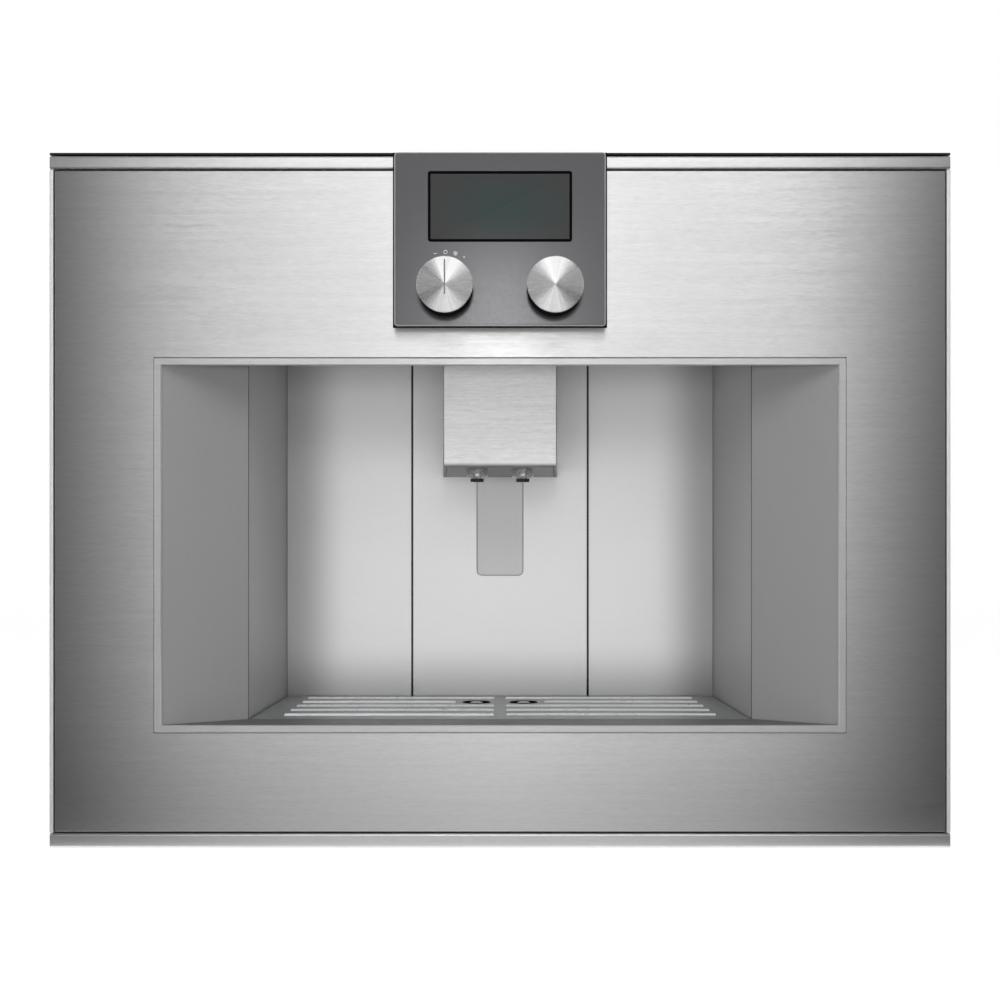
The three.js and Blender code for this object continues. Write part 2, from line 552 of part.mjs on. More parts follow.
// The outlet's plan at a depth, drawn in by `inset` at its sides.
function outletWidth(y, inset) {
  const share = (y - OUTLET_Y) / (OUTLET_BACK_Y - OUTLET_Y);
  const half = OUTLET_FRONT_HALF_WIDTH + (OUTLET_BACK_HALF_WIDTH - OUTLET_FRONT_HALF_WIDTH) * share - inset;
  return [-half, half];
}

function outletTaper(inset, [y0, y1], z) {
  return taper({ x: outletWidth(y0, inset), z }, { x: outletWidth(y1, inset), z }, [y0, y1]);
}

function buildOutlet() {
  const depth = [OUTLET_Y, OUTLET_BACK_Y];
  const shell = outletTaper(0, depth, [OUTLET_Z, OUTLET_TOP_Z]);
  const inside = [OUTLET_Z - 1, OUTLET_TOP_Z - OUTLET_WALL];
  const hollow = outletTaper(OUTLET_WALL, grown(depth, -OUTLET_WALL), inside);
  piece("outlet_shell", cut(shell, hollow), greyPanel);

  const baseDepth = grown(depth, -OUTLET_WALL - FIT);
  const base = outletTaper(OUTLET_WALL + FIT, baseDepth, [OUTLET_Z, OUTLET_Z + OUTLET_BASE_THICKNESS]);
  const holes = SIDES.flatMap(([side]) => [
    rod("z", [side * NOZZLE_HALF_PITCH, NOZZLE_Y, 0], RECESS_RADIUS, [OUTLET_Z - 1, OUTLET_Z + RECESS_DEPTH]),
    rod("z", [side * NOZZLE_HALF_PITCH, NOZZLE_Y, 0], NOZZLE_RADIUS + FIT, grown([OUTLET_Z, FLANGE_Z], 1)),
  ]);
  piece("outlet_base", cut(base, ...holes), greyPlastic);

  const profile = [
    [NOZZLE_BORE_RADIUS, 0],
    [NOZZLE_RADIUS - NOZZLE_TAPER, 0],
    [NOZZLE_RADIUS, NOZZLE_LENGTH],
    [NOZZLE_RADIUS, NOZZLE_LENGTH + OUTLET_BASE_THICKNESS + FIT],
    [RECESS_RADIUS, NOZZLE_LENGTH + OUTLET_BASE_THICKNESS + FIT],
    [RECESS_RADIUS, NOZZLE_LENGTH + OUTLET_BASE_THICKNESS + FIT + NOZZLE_FLANGE],
    [NOZZLE_BORE_RADIUS, NOZZLE_LENGTH + OUTLET_BASE_THICKNESS + FIT + NOZZLE_FLANGE],
    [NOZZLE_BORE_RADIUS, 0],
  ];
  for (const [side, name] of SIDES) {
    const place = [side * NOZZLE_HALF_PITCH, NOZZLE_Y, OUTLET_Z - NOZZLE_LENGTH];
    piece(`nozzle_${name}`, turned(profile, place), brightSteel);
  }
}

// ---- Drip drawer ------------------------------------------------------------------------------------
const DRAWER_REAR_Y = NICHE_BACK_Y - BACK_PANEL_LIFT;

function buildDripDrawer() {
  const width = [-DRAWER_HALF_WIDTH, DRAWER_HALF_WIDTH];
  const depth = [CONTAINER_Y, DRAWER_REAR_Y];
  piece("drip_tray", openTub(width, depth, [DRAWER_Z, DRAWER_TOP_Z], WALL), blackPlastic);

  const left = -DRAWER_HALF_WIDTH + WALL + GROUNDS_INSET;
  const groundsDepth = grown(depth, -WALL - GROUNDS_INSET);
  const height = [DRAWER_Z + WALL + FIT, DRAWER_TOP_Z - WALL];
  piece("grounds_container", openTub([left, left + GROUNDS_WIDTH], groundsDepth, height, WALL), greyPlastic);
}

// A half-round bar along X that stands on the grate.
function gratingBar([x0, x1], y) {
  const shape = new THREE.Shape();
  shape.moveTo(-BAR_WIDTH / 2, -GRATE_THICKNESS / 2);
  shape.lineTo(BAR_WIDTH / 2, -GRATE_THICKNESS / 2);
  shape.lineTo(BAR_WIDTH / 2, 0);
  shape.absellipse(0, 0, BAR_WIDTH / 2, BAR_HEIGHT, 0, Math.PI, false);
  const options = { depth: x1 - x0, bevelEnabled: false, curveSegments: 3 };
  const geometry = new THREE.ExtrudeGeometry(shape, options);
  const basis = new THREE.Matrix4().makeBasis(AXES.y, AXES.z, AXES.x);
  return solid(geometry.applyMatrix4(basis).translate(x0, y, FLOOR_Z));
}

function buildGrate() {
  const thickness = [GRATE_Z, FLOOR_Z];
  const depth = [BODY_Y + GRATE_FRONT_GAP, DRAWER_REAR_Y];
  let grate = block([-DRAWER_HALF_WIDTH, DRAWER_HALF_WIDTH], depth, thickness);
  const besideDrain = DRAIN_HALF_PITCH + DRAIN_RADIUS + DRAIN_BAR_GAP;
  for (let row = 0; row < GRATE_ROWS; row++) {
    const y = NICHE_BACK_Y - GRATE_LAST_ROW - row * GRATE_PITCH;
    const inner = row === DRAIN_ROW ? besideDrain : BRIDGE_HALF_WIDTH;
    for (const [side] of SIDES) {
      const run = across(side, [inner, NICHE_HALF_WIDTH - BAR_END]);
      const slotY = y + BAR_WIDTH / 2 + BAR_SLOT_GAP;
      const slot = block(grown(run, -BAR_SLOT_GAP), [slotY, slotY + BAR_SLOT_WIDTH], grown(thickness, 1));
      grate = join(grate.subtract(slot), gratingBar(run, y));
    }
  }
  const drains = SIDES.map(([side]) =>
    rod("z", [side * DRAIN_HALF_PITCH, DRAIN_Y, 0], DRAIN_RADIUS + FIT, grown(thickness, 1)),
  );
  piece("drip_grate", cut(grate, ...drains), greyPanel);

  const floor = WALL / 2;
  const dish = [
    [0, 0],
    [DRAIN_RADIUS, 0],
    [DRAIN_RADIUS, GRATE_THICKNESS + BAR_HEIGHT / 2],
    [DRAIN_RADIUS - DRAIN_RIM, GRATE_THICKNESS + BAR_HEIGHT / 2],
    [DRAIN_RADIUS - DRAIN_RIM, floor],
    [DRAIN_DOME_RADIUS, floor],
    [DRAIN_DOME_RADIUS * 0.8, GRATE_THICKNESS - FIT],
    [0, GRATE_THICKNESS + FIT],
  ];
  for (const [side, name] of SIDES) {
    piece(`drain_${name}`, turned(dish, [side * DRAIN_HALF_PITCH, DRAIN_Y, GRATE_Z]), brightSteel);
  }
}

// ---- Containers -------------------------------------------------------------------------------------
// A container open at the top, and the lid that lies on it.
function lidded(names, [x, y, z], material, ...holes) {
  const [container, lid] = names;
  const rim = z[1] - CONTAINER_LID - FIT;
  piece(container, cut(openTub(x, y, [z[0], rim], WALL), ...holes), material);
  piece(lid, tub(x, y, [rim + FIT, z[1]], CONTAINER_CORNER), greyPlastic);
}

function buildContainers() {
  const bay = grown(BAY_WINDOW_X, -PLAY);
  const milkZ = BASE_TOP_Z + FIT;
  const milkTop = milkZ + MILK_HEIGHT + FIT + CONTAINER_LID;
  lidded(
    ["milk_container", "milk_lid"],
    [bay, [CONTAINER_Y, CONTAINER_Y + MILK_DEPTH], [milkZ, milkTop]],
    clearPlastic,
  );
  lidded(
    ["water_tank", "water_tank_lid"],
    [bay, [CONTAINER_Y, REAR_Y - TANK_REAR_GAP], [TANK_Z, WINDOW_TOP_Z - PLAY]],
    clearPlastic,
  );
  const feed = rod("z", [HOPPER.x, HOPPER.y, 0], HOPPER_RADIUS, [DECK_TOP_Z, DECK_TOP_Z + 2 * WALL]);
  lidded(
    ["bean_container", "bean_lid"],
    [[BEAN_X, BEAN_X + BEAN_WIDTH], [CONTAINER_Y, BEAN_REAR_Y], [DECK_TOP_Z + FIT, BEAN_TOP_Z]],
    blackPlastic,
    feed,
  );
}

// ---- Works ------------------------------------------------------------------------------------------
function buildWorks() {
  const shelfY = CARRIAGE_BACK_Y + WORKS_SPACING / 2;
  const shelfX = [-NICHE_HALF_WIDTH + FIT, NICHE_HALF_WIDTH - FIT];
  const shelf = block(shelfX, [shelfY, REAR_Y - FIT], [SHELF_Z, SHELF_Z + SHEET]);
  const fold = block(shelfX, [shelfY, shelfY + SHEET], [SHELF_Z - SHELF_FOLD, SHELF_Z + SHEET]);
  piece("boiler_shelf", join(shelf, fold), galvanised);

  const shelfTop = SHELF_Z + SHEET + FIT;
  const steamX = NICHE_HALF_WIDTH - WORKS_SPACING - STEAM_BOILER_RADIUS;
  const brewX = (HOPPER.x + GRINDER_WIDTH / 2 + steamX - STEAM_BOILER_RADIUS) / 2;
  piece("steam_boiler", boiler(steamX, STEAM_BOILER_RADIUS, shelfTop, STEAM_BOILER_HEIGHT), copperBoiler);
  piece("brew_boiler", boiler(brewX, BREW_BOILER_RADIUS, shelfTop, BREW_BOILER_HEIGHT), copperBoiler);

  const grinderY = CARRIAGE_BACK_Y + WORKS_SPACING;
  const grinderZ = NICHE_TOP_Z - FIT - GRINDER_HEIGHT;
  const head = tub(
    grown([HOPPER.x, HOPPER.x], GRINDER_WIDTH / 2),
    [grinderY, grinderY + GRINDER_WIDTH],
    [grinderZ, NICHE_TOP_Z - FIT],
    CONTAINER_CORNER,
  );
  const throatZ = [grinderZ + GRINDER_HEIGHT / 2, NICHE_TOP_Z];
  const throat = rod("z", [HOPPER.x, HOPPER.y, 0], HOPPER_RADIUS - WALL, throatZ);
  piece("grinder_body", cut(head, throat), blackPlastic);
  const motorTop = grinderZ - FIT;
  const motorPlace = [HOPPER.x, grinderY + GRINDER_WIDTH / 2, 0];
  const motor = rod("z", motorPlace, GRINDER_MOTOR_RADIUS, [motorTop - GRINDER_MOTOR_HEIGHT, motorTop]);
  piece("grinder_motor", motor, galvanised);

  const pumpZ = BASE_TOP_Z + FIT + PUMP_FOOT + PUMP_RADIUS;
  const pumpX = [-NICHE_HALF_WIDTH + WORKS_SPACING, -NICHE_HALF_WIDTH + WORKS_SPACING + PUMP_LENGTH];
  const feet = [pumpX[0] + PUMP_FOOT, pumpX[1] - 2 * PUMP_FOOT].map((x) =>
    block([x, x + PUMP_FOOT], grown([BOILER_Y, BOILER_Y], PUMP_RADIUS / 2), [BASE_TOP_Z + FIT, pumpZ]),
  );
  piece("pump", join(rod("x", [0, BOILER_Y, pumpZ], PUMP_RADIUS, pumpX), ...feet), greyPlastic);
}

function boiler(x, radius, z, height) {
  const dome = radius / 4;
  const shoulder = [radius * 0.8, height - dome / 3];
  const profile = [[0, 0], [radius, 0], [radius, height - dome], shoulder, [0, height]];
  return turned(profile, [x, BOILER_Y, z]);
}

// The brew unit stands in the left bay, behind its cover.
function buildBrewUnit() {
  const centreX = -(BAY_INNER_X + BAY_OUTER_X) / 2;
  const width = grown([centreX, centreX], BREW_UNIT_WIDTH / 2);
  const frontY = BODY_Y + BREW_UNIT_FROM_FRONT;
  const depth = [frontY, frontY + BREW_UNIT_DEPTH];
  const bodyZ = BASE_TOP_Z + FIT + BREW_UNIT_LEG;
  const body = block(width, depth, [bodyZ, bodyZ + BREW_UNIT_HEIGHT]);
  const legs = [depth[0], depth[1] - BREW_UNIT_LEG].map((y) =>
    block(width, [y, y + BREW_UNIT_LEG], [BASE_TOP_Z + FIT, bodyZ + 1]),
  );
  const chamberZ = bodyZ + BREW_UNIT_HEIGHT;
  const chamberY = (depth[0] + depth[1]) / 2;
  const tall = [chamberZ - 1, chamberZ + BREW_CHAMBER_HEIGHT];
  const chamber = rod("z", [centreX, chamberY, 0], BREW_CHAMBER_RADIUS, tall);
  piece("brew_unit", join(body, chamber, ...legs), greyPlastic);

  const cover = grown(BAY_WINDOW_X, -FIT);
  const height = [WINDOW_Z + FIT, WINDOW_TOP_Z - FIT];
  const plate = panel(across(-1, cover), [CONTAINER_Y, BODY_Y], height, CONTAINER_CORNER / 4);
  piece("brew_cover", plate, blackPlastic);
}

function buildElectrics() {
  const x0 = BLIND_HALF_WIDTH + WORKS_SPACING;
  const y0 = BODY_Y + BOARD_FROM_FRONT;
  const z0 = DECK_TOP_Z + FIT;
  const board = block([x0, x0 + BOARD_WIDTH], [y0, y0 + BOARD_DEPTH], [z0, z0 + BOARD_HEIGHT]);
  const size = BOARD_WIDTH / 4;
  const components = [0, 1, 2].map((i) => {
    const x = x0 + size / 4 + i * size * 1.25;
    const tall = [z0, z0 + BOARD_HEIGHT + COMPONENT_HEIGHT];
    return block([x, x + size], [y0 + size / 2, y0 + size * (2 + i)], tall);
  });
  piece("power_board", join(board, ...components), greenBoard);

  const body = block(INLET_X, [REAR_Y - INLET_DEPTH, BODY_BACK_Y], INLET_Z);
  const flangeY = [REAR_Y - FIT - WALL, REAR_Y - FIT];
  const flange = block(grown(INLET_X, INLET_WALL), flangeY, grown(INLET_Z, INLET_WALL));
  const socket = block(
    grown(INLET_X, -INLET_WALL),
    [REAR_Y - INLET_DEPTH + INLET_WALL, BODY_BACK_Y + 1],
    grown(INLET_Z, -INLET_WALL),
  );
  piece("mains_inlet", cut(join(body, flange), socket), blackPlastic);
}

// ---- Door -------------------------------------------------------------------------------------------
// The splay's outline at a depth behind the door's face, grown by `wall`.
function splay(y, wall) {
  const share = (y - SHEET) / (DOOR_DEPTH - SHEET);
  const half = APERTURE_HALF_WIDTH + (REVEAL_BACK_HALF_WIDTH - APERTURE_HALF_WIDTH) * share + wall;
  return { x: [-half, half], z: [APERTURE_Z - wall, APERTURE_TOP_Z + REVEAL_RISE * share + wall] };
}

const splayed = (wall, depth) => taper(splay(depth[0], wall), splay(depth[1], wall), depth);

function buildDoorShell() {
  const aperture = { x: [-APERTURE_HALF_WIDTH, APERTURE_HALF_WIDTH], z: [APERTURE_Z, APERTURE_TOP_Z] };
  const opening = (margin, depth) => block(grown(aperture.x, margin), depth, grown(aperture.z, margin));
  const halfWidth = DOOR_HALF_WIDTH - SIDE_TRIM_WIDTH - SHADOW_GAP;
  const skinZ = [DOOR_Z + BOTTOM_TRIM_HEIGHT + SHADOW_GAP, DOOR_TOP_Z - TOP_TRIM_HEIGHT - SHADOW_GAP];
  const skin = block([-halfWidth, halfWidth], [0, SHEET], skinZ);
  const bossHole = block(grown(BOSS_X, FIT), [-1, SHEET + 1], grown(BOSS_Z, FIT));
  piece("door_panel", cut(skin, opening(NICHE_TRIM_WIDTH + FIT, [-1, SHEET + 1]), bossHole), brushedSteel);

  const ringDepth = [-NICHE_TRIM_PROUD, SHEET - FIT];
  const ring = cut(opening(NICHE_TRIM_WIDTH, ringDepth), opening(0, grown(ringDepth, 1)));
  piece("niche_trim", ring, brightSteel);

  const revealDepth = [SHEET, DOOR_DEPTH];
  const reveal = cut(splayed(REVEAL_THICKNESS, revealDepth), splayed(0, grown(revealDepth, 1)));
  piece("door_reveal", reveal, greyPanel);

  piece("door_liner", doorLiner(), blackPlastic);
}

// The moulded tub behind the door's skin, open to the front, with a pocket at each hinge.
function doorLiner() {
  const width = [-LINER_HALF_WIDTH, LINER_HALF_WIDTH];
  const height = [LINER_Z, LINER_TOP_Z];
  const outer = block(width, [LINER_Y, DOOR_DEPTH], height);
  const hollow = block(grown(width, -WALL), [LINER_Y - 1, DOOR_DEPTH - WALL], grown(height, -WALL));
  const pocketX = [-DOOR_HALF_WIDTH, HINGE_X + KNUCKLE_RADIUS + HINGE_PLATE_WIDTH + PLAY];
  const pocketHalf = HINGE_LENGTH / 2 + PLAY;
  let liner = cut(outer, hollow);
  for (const centre of Object.values(HINGE_CENTRES_Z)) {
    const wall = [centre - pocketHalf - WALL, centre + pocketHalf + WALL];
    const boss = block([width[0], pocketX[1] + WALL], [POCKET_Y - WALL, DOOR_DEPTH], wall);
    const pocket = block(pocketX, [POCKET_Y, DOOR_DEPTH + 1], [centre - pocketHalf, centre + pocketHalf]);
    liner = cut(join(liner, boss), pocket);
  }
  return cut(liner, splayed(REVEAL_THICKNESS + FIT, [LINER_Y - 1, DOOR_DEPTH + 1]));
}

// A trim with its front edges taken off, along X.
function trimBar([z0, z1]) {
  const shape = new THREE.Shape();
  shape.moveTo(TRIM_ROUNDING, z0);
  shape.lineTo(DOOR_DEPTH, z0);
  shape.lineTo(DOOR_DEPTH, z1);
  shape.lineTo(TRIM_ROUNDING, z1);
  shape.absarc(TRIM_ROUNDING, z1 - TRIM_ROUNDING, TRIM_ROUNDING, Math.PI / 2, Math.PI, false);
  shape.absarc(TRIM_ROUNDING, z0 + TRIM_ROUNDING, TRIM_ROUNDING, Math.PI, Math.PI * 1.5, false);
  const options = { depth: 2 * DOOR_HALF_WIDTH, bevelEnabled: false, curveSegments: 2 };
  const basis = new THREE.Matrix4().makeBasis(AXES.y, AXES.z, AXES.x);
  const geometry = new THREE.ExtrudeGeometry(shape, options).applyMatrix4(basis);
  return solid(geometry.translate(-DOOR_HALF_WIDTH, 0, 0));
}

function buildDoorTrims() {
  piece("door_trim_top", trimBar([DOOR_TOP_Z - TOP_TRIM_HEIGHT, DOOR_TOP_Z]), brushedSteel);
  piece("door_trim_bottom", trimBar([DOOR_Z, DOOR_Z + BOTTOM_TRIM_HEIGHT]), brushedSteel);
  for (const [side, name] of SIDES) {
    const width = [DOOR_HALF_WIDTH - SIDE_TRIM_WIDTH, DOOR_HALF_WIDTH];
    const trim = block(across(side, width), [0, SIDE_TRIM_DEPTH], [LINER_Z, LINER_TOP_Z]);
    piece(`door_trim_${name}`, trim, brushedSteel);
  }
}

// ---- Display and knobs ------------------------------------------------------------------------------
function buildDisplay() {
  const width = [-DISPLAY_WIDTH / 2, DISPLAY_WIDTH / 2];
  const height = [DISPLAY_Z, DISPLAY_TOP_Z];
  const plateDepth = [-DISPLAY_PROUD, DISPLAY_PLATE_BACK_Y];
  const screenX = [-SCREEN_WIDTH / 2, SCREEN_WIDTH / 2];
  const screenZ = [SCREEN_TOP_Z - SCREEN_HEIGHT, SCREEN_TOP_Z];
  const shaftBore = (side, depth) =>
    rod("y", [side * KNOB_HALF_PITCH, 0, KNOB_Z], KNOB_SHAFT_RADIUS + PLAY, depth, 16);
  const bores = (depth) => SIDES.map(([side]) => shaftBore(side, depth));

  const plate = panel(width, plateDepth, height, DISPLAY_CORNER);
  const holeX = grown(screenX, FIT);
  const screenHole = panel(holeX, grown(plateDepth, 1), grown(screenZ, FIT), SCREEN_CORNER + FIT);
  piece("display_plate", cut(plate, screenHole, ...bores(grown(plateDepth, 1))), brushedSteel);
  piece("display_screen", panel(screenX, plateDepth, screenZ, SCREEN_CORNER), screenGlass);

  const housingDepth = [DISPLAY_PLATE_BACK_Y + FIT, -FIT];
  const housingX = grown(width, -HOUSING_INSET);
  const housing = panel(housingX, housingDepth, grown(height, -HOUSING_INSET), DISPLAY_CORNER);
  const boss = block(BOSS_X, [-1, HOUSING_BOSS_DEPTH], BOSS_Z);
  const shafts = bores([DISPLAY_PLATE_BACK_Y - 1, KNOB_FRONT_Y + KNOB_HEIGHT + KNOB_SHAFT_LENGTH + FIT]);
  piece("display_housing", cut(join(housing, boss), ...shafts), blackPlastic);
}

function buildKnobs() {
  const rim = KNOB_RADIUS - KNOB_CHAMFER;
  const profile = [
    [0, -KNOB_SHAFT_LENGTH],
    [KNOB_SHAFT_RADIUS, -KNOB_SHAFT_LENGTH],
    [KNOB_SHAFT_RADIUS, 0],
    [KNOB_RADIUS, 0],
    [KNOB_RADIUS, KNOB_HEIGHT - KNOB_CHAMFER],
    [rim, KNOB_HEIGHT],
    [0, KNOB_HEIGHT - KNOB_DISH],
  ];
  const baseY = KNOB_FRONT_Y + KNOB_HEIGHT;
  for (const [side, name] of [[-1, "selector_knob"], [1, "menu_knob"]]) {
    const knob = turned(profile, [side * KNOB_HALF_PITCH, baseY, KNOB_Z], { sides: 48, forward: true });
    piece(name, knob, brightSteel);
  }
}

// ---- Hinges -----------------------------------------------------------------------------------------
// The bracket on the frame holds the pin; the leaf in the door's pocket turns on it.
function buildHinges() {
  for (const [name, centre] of Object.entries(HINGE_CENTRES_Z)) {
    const z = [centre - HINGE_LENGTH / 2, centre + HINGE_LENGTH / 2];
    const middle = [z[0] + KNUCKLE_LENGTH + PLAY, z[1] - KNUCKLE_LENGTH - PLAY];
    const axis = [HINGE_X, HINGE_Y, 0];
    const plateEnd = HINGE_X + KNUCKLE_RADIUS + HINGE_PLATE_WIDTH;

    const bracketY = [FRAME_Y - FIT - HINGE_PLATE, FRAME_Y - FIT];
    const plate = block([HINGE_X, plateEnd], bracketY, z);
    const clearance = KNUCKLE_RADIUS + PLAY;
    const notch = block([HINGE_X - 1, HINGE_X + clearance], grown(bracketY, 1), grown(middle, PLAY));
    const knuckles = [[z[0], z[0] + KNUCKLE_LENGTH], [z[1] - KNUCKLE_LENGTH, z[1]]];
    const ends = knuckles.map((length) => rod("z", axis, KNUCKLE_RADIUS, length, 16));
    const pin = rod("z", axis, PIN_RADIUS, [z[0] + 1, z[1] - 1], 16);
    piece(`hinge_bracket_${name}`, join(cut(plate, notch), ...ends, pin), galvanised);

    const leafY = [POCKET_Y + FIT, POCKET_Y + FIT + HINGE_PLATE];
    const leafX = HINGE_X - KNUCKLE_RADIUS;
    const leaf = block([leafX, plateEnd], leafY, z);
    const web = block([leafX, leafX + HINGE_PLATE], [leafY[0], HINGE_Y], middle);
    const knuckle = rod("z", axis, KNUCKLE_RADIUS, middle, 16);
    const bore = rod("z", axis, PIN_RADIUS + PIN_PLAY, grown(middle, 1), 16);
    piece(`hinge_leaf_${name}`, cut(join(leaf, web, knuckle), bore), galvanised);
  }
}

buildHousing();
buildTopDeck();
buildFrontFrame();
buildNiche();
buildOutletGuide();
buildCarriage();
buildOutlet();
buildDripDrawer();
buildGrate();
buildContainers();
buildWorks();
buildBrewUnit();
buildElectrics();
buildDoorShell();
buildDoorTrims();
buildDisplay();
buildKnobs();
buildHinges();

// The origin goes to the middle of the whole, front to back.
machine.position.y = -(KNOB_FRONT_Y + BODY_BACK_Y) / 2;

export default machine;
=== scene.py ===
"""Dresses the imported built-in coffee machine: brushed steel, moulded plastic, glass, marks and fastenings,
in the frame that the construction gives. Metres, +Z up, -Y is the front."""

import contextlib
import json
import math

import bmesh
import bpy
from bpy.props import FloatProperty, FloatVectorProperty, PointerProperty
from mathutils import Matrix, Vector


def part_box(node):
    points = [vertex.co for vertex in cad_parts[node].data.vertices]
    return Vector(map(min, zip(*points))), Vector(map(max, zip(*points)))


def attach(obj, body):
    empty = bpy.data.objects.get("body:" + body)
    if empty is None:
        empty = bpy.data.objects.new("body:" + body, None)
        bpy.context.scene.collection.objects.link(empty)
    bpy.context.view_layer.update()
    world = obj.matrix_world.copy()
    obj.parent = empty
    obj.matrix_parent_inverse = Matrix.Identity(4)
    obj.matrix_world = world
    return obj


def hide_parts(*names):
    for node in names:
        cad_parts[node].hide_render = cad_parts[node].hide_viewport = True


bl_info = {
    "name": "Built-in coffee machine",
    "version": (1, 0, 0),
    "blender": (4, 5, 0),
    "location": "View3D > Sidebar > Coffee machine",
    "description": "Dresses a built-in coffee machine and sets it on a studio floor",
    "category": "Object",
}

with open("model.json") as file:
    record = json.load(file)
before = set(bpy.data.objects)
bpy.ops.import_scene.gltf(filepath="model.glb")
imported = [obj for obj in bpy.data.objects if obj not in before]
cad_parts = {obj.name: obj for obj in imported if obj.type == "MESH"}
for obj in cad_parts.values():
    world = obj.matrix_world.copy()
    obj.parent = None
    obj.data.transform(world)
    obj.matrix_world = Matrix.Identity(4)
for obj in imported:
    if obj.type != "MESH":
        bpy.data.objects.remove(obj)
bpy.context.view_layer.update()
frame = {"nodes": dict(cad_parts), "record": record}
NODES = frame["nodes"]
RECORD = frame["record"]
BODY_OF = {node: body for body, nodes in RECORD["behaviour"]["bodies"].items() for node in nodes}
SLOT_OF = {row["node"]: row["material_slot"] for row in RECORD["subparts"]}

MM = 0.001
FRONT_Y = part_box("door_panel")[0].y  # the face of the door
MERGED = 1e-6  # points nearer than this are one
LOOSE = 0.1 * MM  # the slack in a test of a point's place


# ---- Sizes and colours that a user would change ------------------------------------------------------

def length(name, description, default):
    """A length, in metres."""
    return FloatProperty(name=name, description=description, default=default, unit="LENGTH", precision=5)


def share(name, description, default):
    """A plain number, from 0 up."""
    return FloatProperty(name=name, description=description, default=default, min=0.0, subtype="FACTOR")


def power(name, description, default):
    """A lamp's power, in watts."""
    return FloatProperty(name=name, description=description, default=default, unit="POWER")


def colour(name, description, default):
    """A linear colour."""
    return FloatVectorProperty(
        name=name, description=description, default=default, size=3, subtype="COLOR", min=0.0, max=1.0
    )


class CoffeeStage(bpy.types.PropertyGroup):
    """The camera, the lamps, the cards and the floor."""

    camera_distance: length("Camera distance", "From the camera to the door's face", 1.08)
    camera_height: length("Camera height", "Of the camera above the floor", 0.1876)
    view_width: length("View width", "Width of the view at the door's face", 0.6545)
    horizon_drop: share("Horizon drop", "Of the horizon below the picture's middle, in picture widths", 0.066)
    backdrop: colour("Backdrop", "Colour of the background", (1.0, 1.0, 1.0))
    floor: colour("Floor", "Colour of the floor", (0.86, 0.86, 0.86))
    fill: share("Fill", "Strength of the light from all round", 0.3)
    floor_shown: share("Floor shown", "Of the plain white over the floor, which keeps the shadow", 0.85)
    floor_glow: share("Floor glow", "Strength of that white", 1.106)
    key_power: power("Key power", "Of the front lamp", 30.0)
    key_height: length("Key height", "Of the front lamp above the floor", 0.14)
    key_distance: length("Key distance", "From the door's face to the front lamp", 1.8)
    sill_power: power("Sill power", "Of the lamp on the grate", 13.0)
    sill_height: length("Sill height", "Of the lamp on the grate above the floor", 1.12)
    sill_distance: length("Sill distance", "From the door's face to the lamp on the grate", 1.2)
    top_power: power("Top power", "Of the upper lamp", 8.0)
    top_height: length("Top height", "Of the upper lamp above the floor", 1.7)
    card_distance: length("Card distance", "From the door's face to the card in front", 1.3)
    card_half: length("Card half", "Half the width of each card", 2.0)
    card_top: length("Card top", "Of the front card above the floor", 2.2)
    card_aside: length("Card aside", "Of the card's middle from the camera's line", -0.01)
    card_level: share("Card level", "Brightness of the card's middle", 0.9)
    card_height: length("Card height", "Of the card's middle above the floor", 0.55)
    card_gap: length("Card gap", "Half the width of the card's bright middle", 0.54)
    card_reach: length("Card reach", "Half the height of the card's bright middle", 0.62)
    card_blend: length("Card blend", "Width over which the card darkens", 0.2)
    card_dark: share("Card dark", "Level of the card's sides", 0.0)
    card_low: share("Card low", "Level of the card's top and bottom", 0.35)
    side_level: share("Side level", "Added brightness of the card's right side", 0.3)
    glint_level: share("Glint level", "Added brightness of the patch that the plate mirrors", 6.0)
    upper_level: share("Upper level", "Added brightness of the card's upper middle", 1.25)
    near_level: share("Near level", "Brightness of the floor card near the door", 0.19)
    far_level: share("Far level", "Brightness of the floor card further out", 0.45)
    low_level: share("Low level", "Added brightness of the floor card below the knobs", 0.35)


class CoffeeFinishes(bpy.types.PropertyGroup):
    """The colours of the metals, plastics and glass."""

    steel: colour("Steel", "Brushed steel of the door", (0.79, 0.79, 0.79))
    trim: colour("Trim", "Steel of the edge trims", (0.79, 0.79, 0.79))
    ring: colour("Ring", "Bright ring round the niche", (0.52, 0.52, 0.52))
    panel: colour("Panel", "Satin back of the niche", (0.86, 0.86, 0.86))
    walls: colour("Walls", "Side walls and ceiling of the niche", (0.5, 0.5, 0.5))
    reveal: colour("Reveal", "Splayed sides of the opening", (0.2, 0.2, 0.2))
    outlet: colour("Outlet", "Shell of the coffee outlet", (0.55, 0.55, 0.55))
    blind: colour("Blind", "Blind behind the slot", (0.5, 0.5, 0.5))
    grate: colour("Grate", "Sheet of the drip grate", (0.3, 0.308, 0.314))
    # The bars are lighter than the grate's sheet as painted highlight.
    bars: colour("Bars", "Raised bars of the drip grate", (0.74, 0.75, 0.76))
    anodised: colour("Anodised", "Plate behind the knobs", (0.1, 0.0993, 0.104))
    glass: colour("Glass", "Screen when it is off", (0.0125, 0.0235, 0.0225))
    black: colour("Black", "Black mouldings", (0.018, 0.018, 0.018))
    charcoal: colour("Charcoal", "Grey mouldings", (0.09, 0.09, 0.095))
    clear: colour("Clear", "Clear tank and milk container", (0.86, 0.9, 0.92))
    zinc: colour("Zinc", "Galvanised sheet", (0.55, 0.56, 0.57))
    chrome: colour("Chrome", "Nozzles, pins and screws", (0.85, 0.85, 0.85))
    spun: colour("Spun", "Spun steel of the knobs", (0.93, 0.93, 0.935))
    boiler: colour("Boiler", "Metal of the boilers", (0.72, 0.5, 0.3))
    board: colour("Board", "Lacquer of the circuit board", (0.015, 0.13, 0.05))
    rubber: colour("Rubber", "Seals and feet", (0.022, 0.022, 0.022))


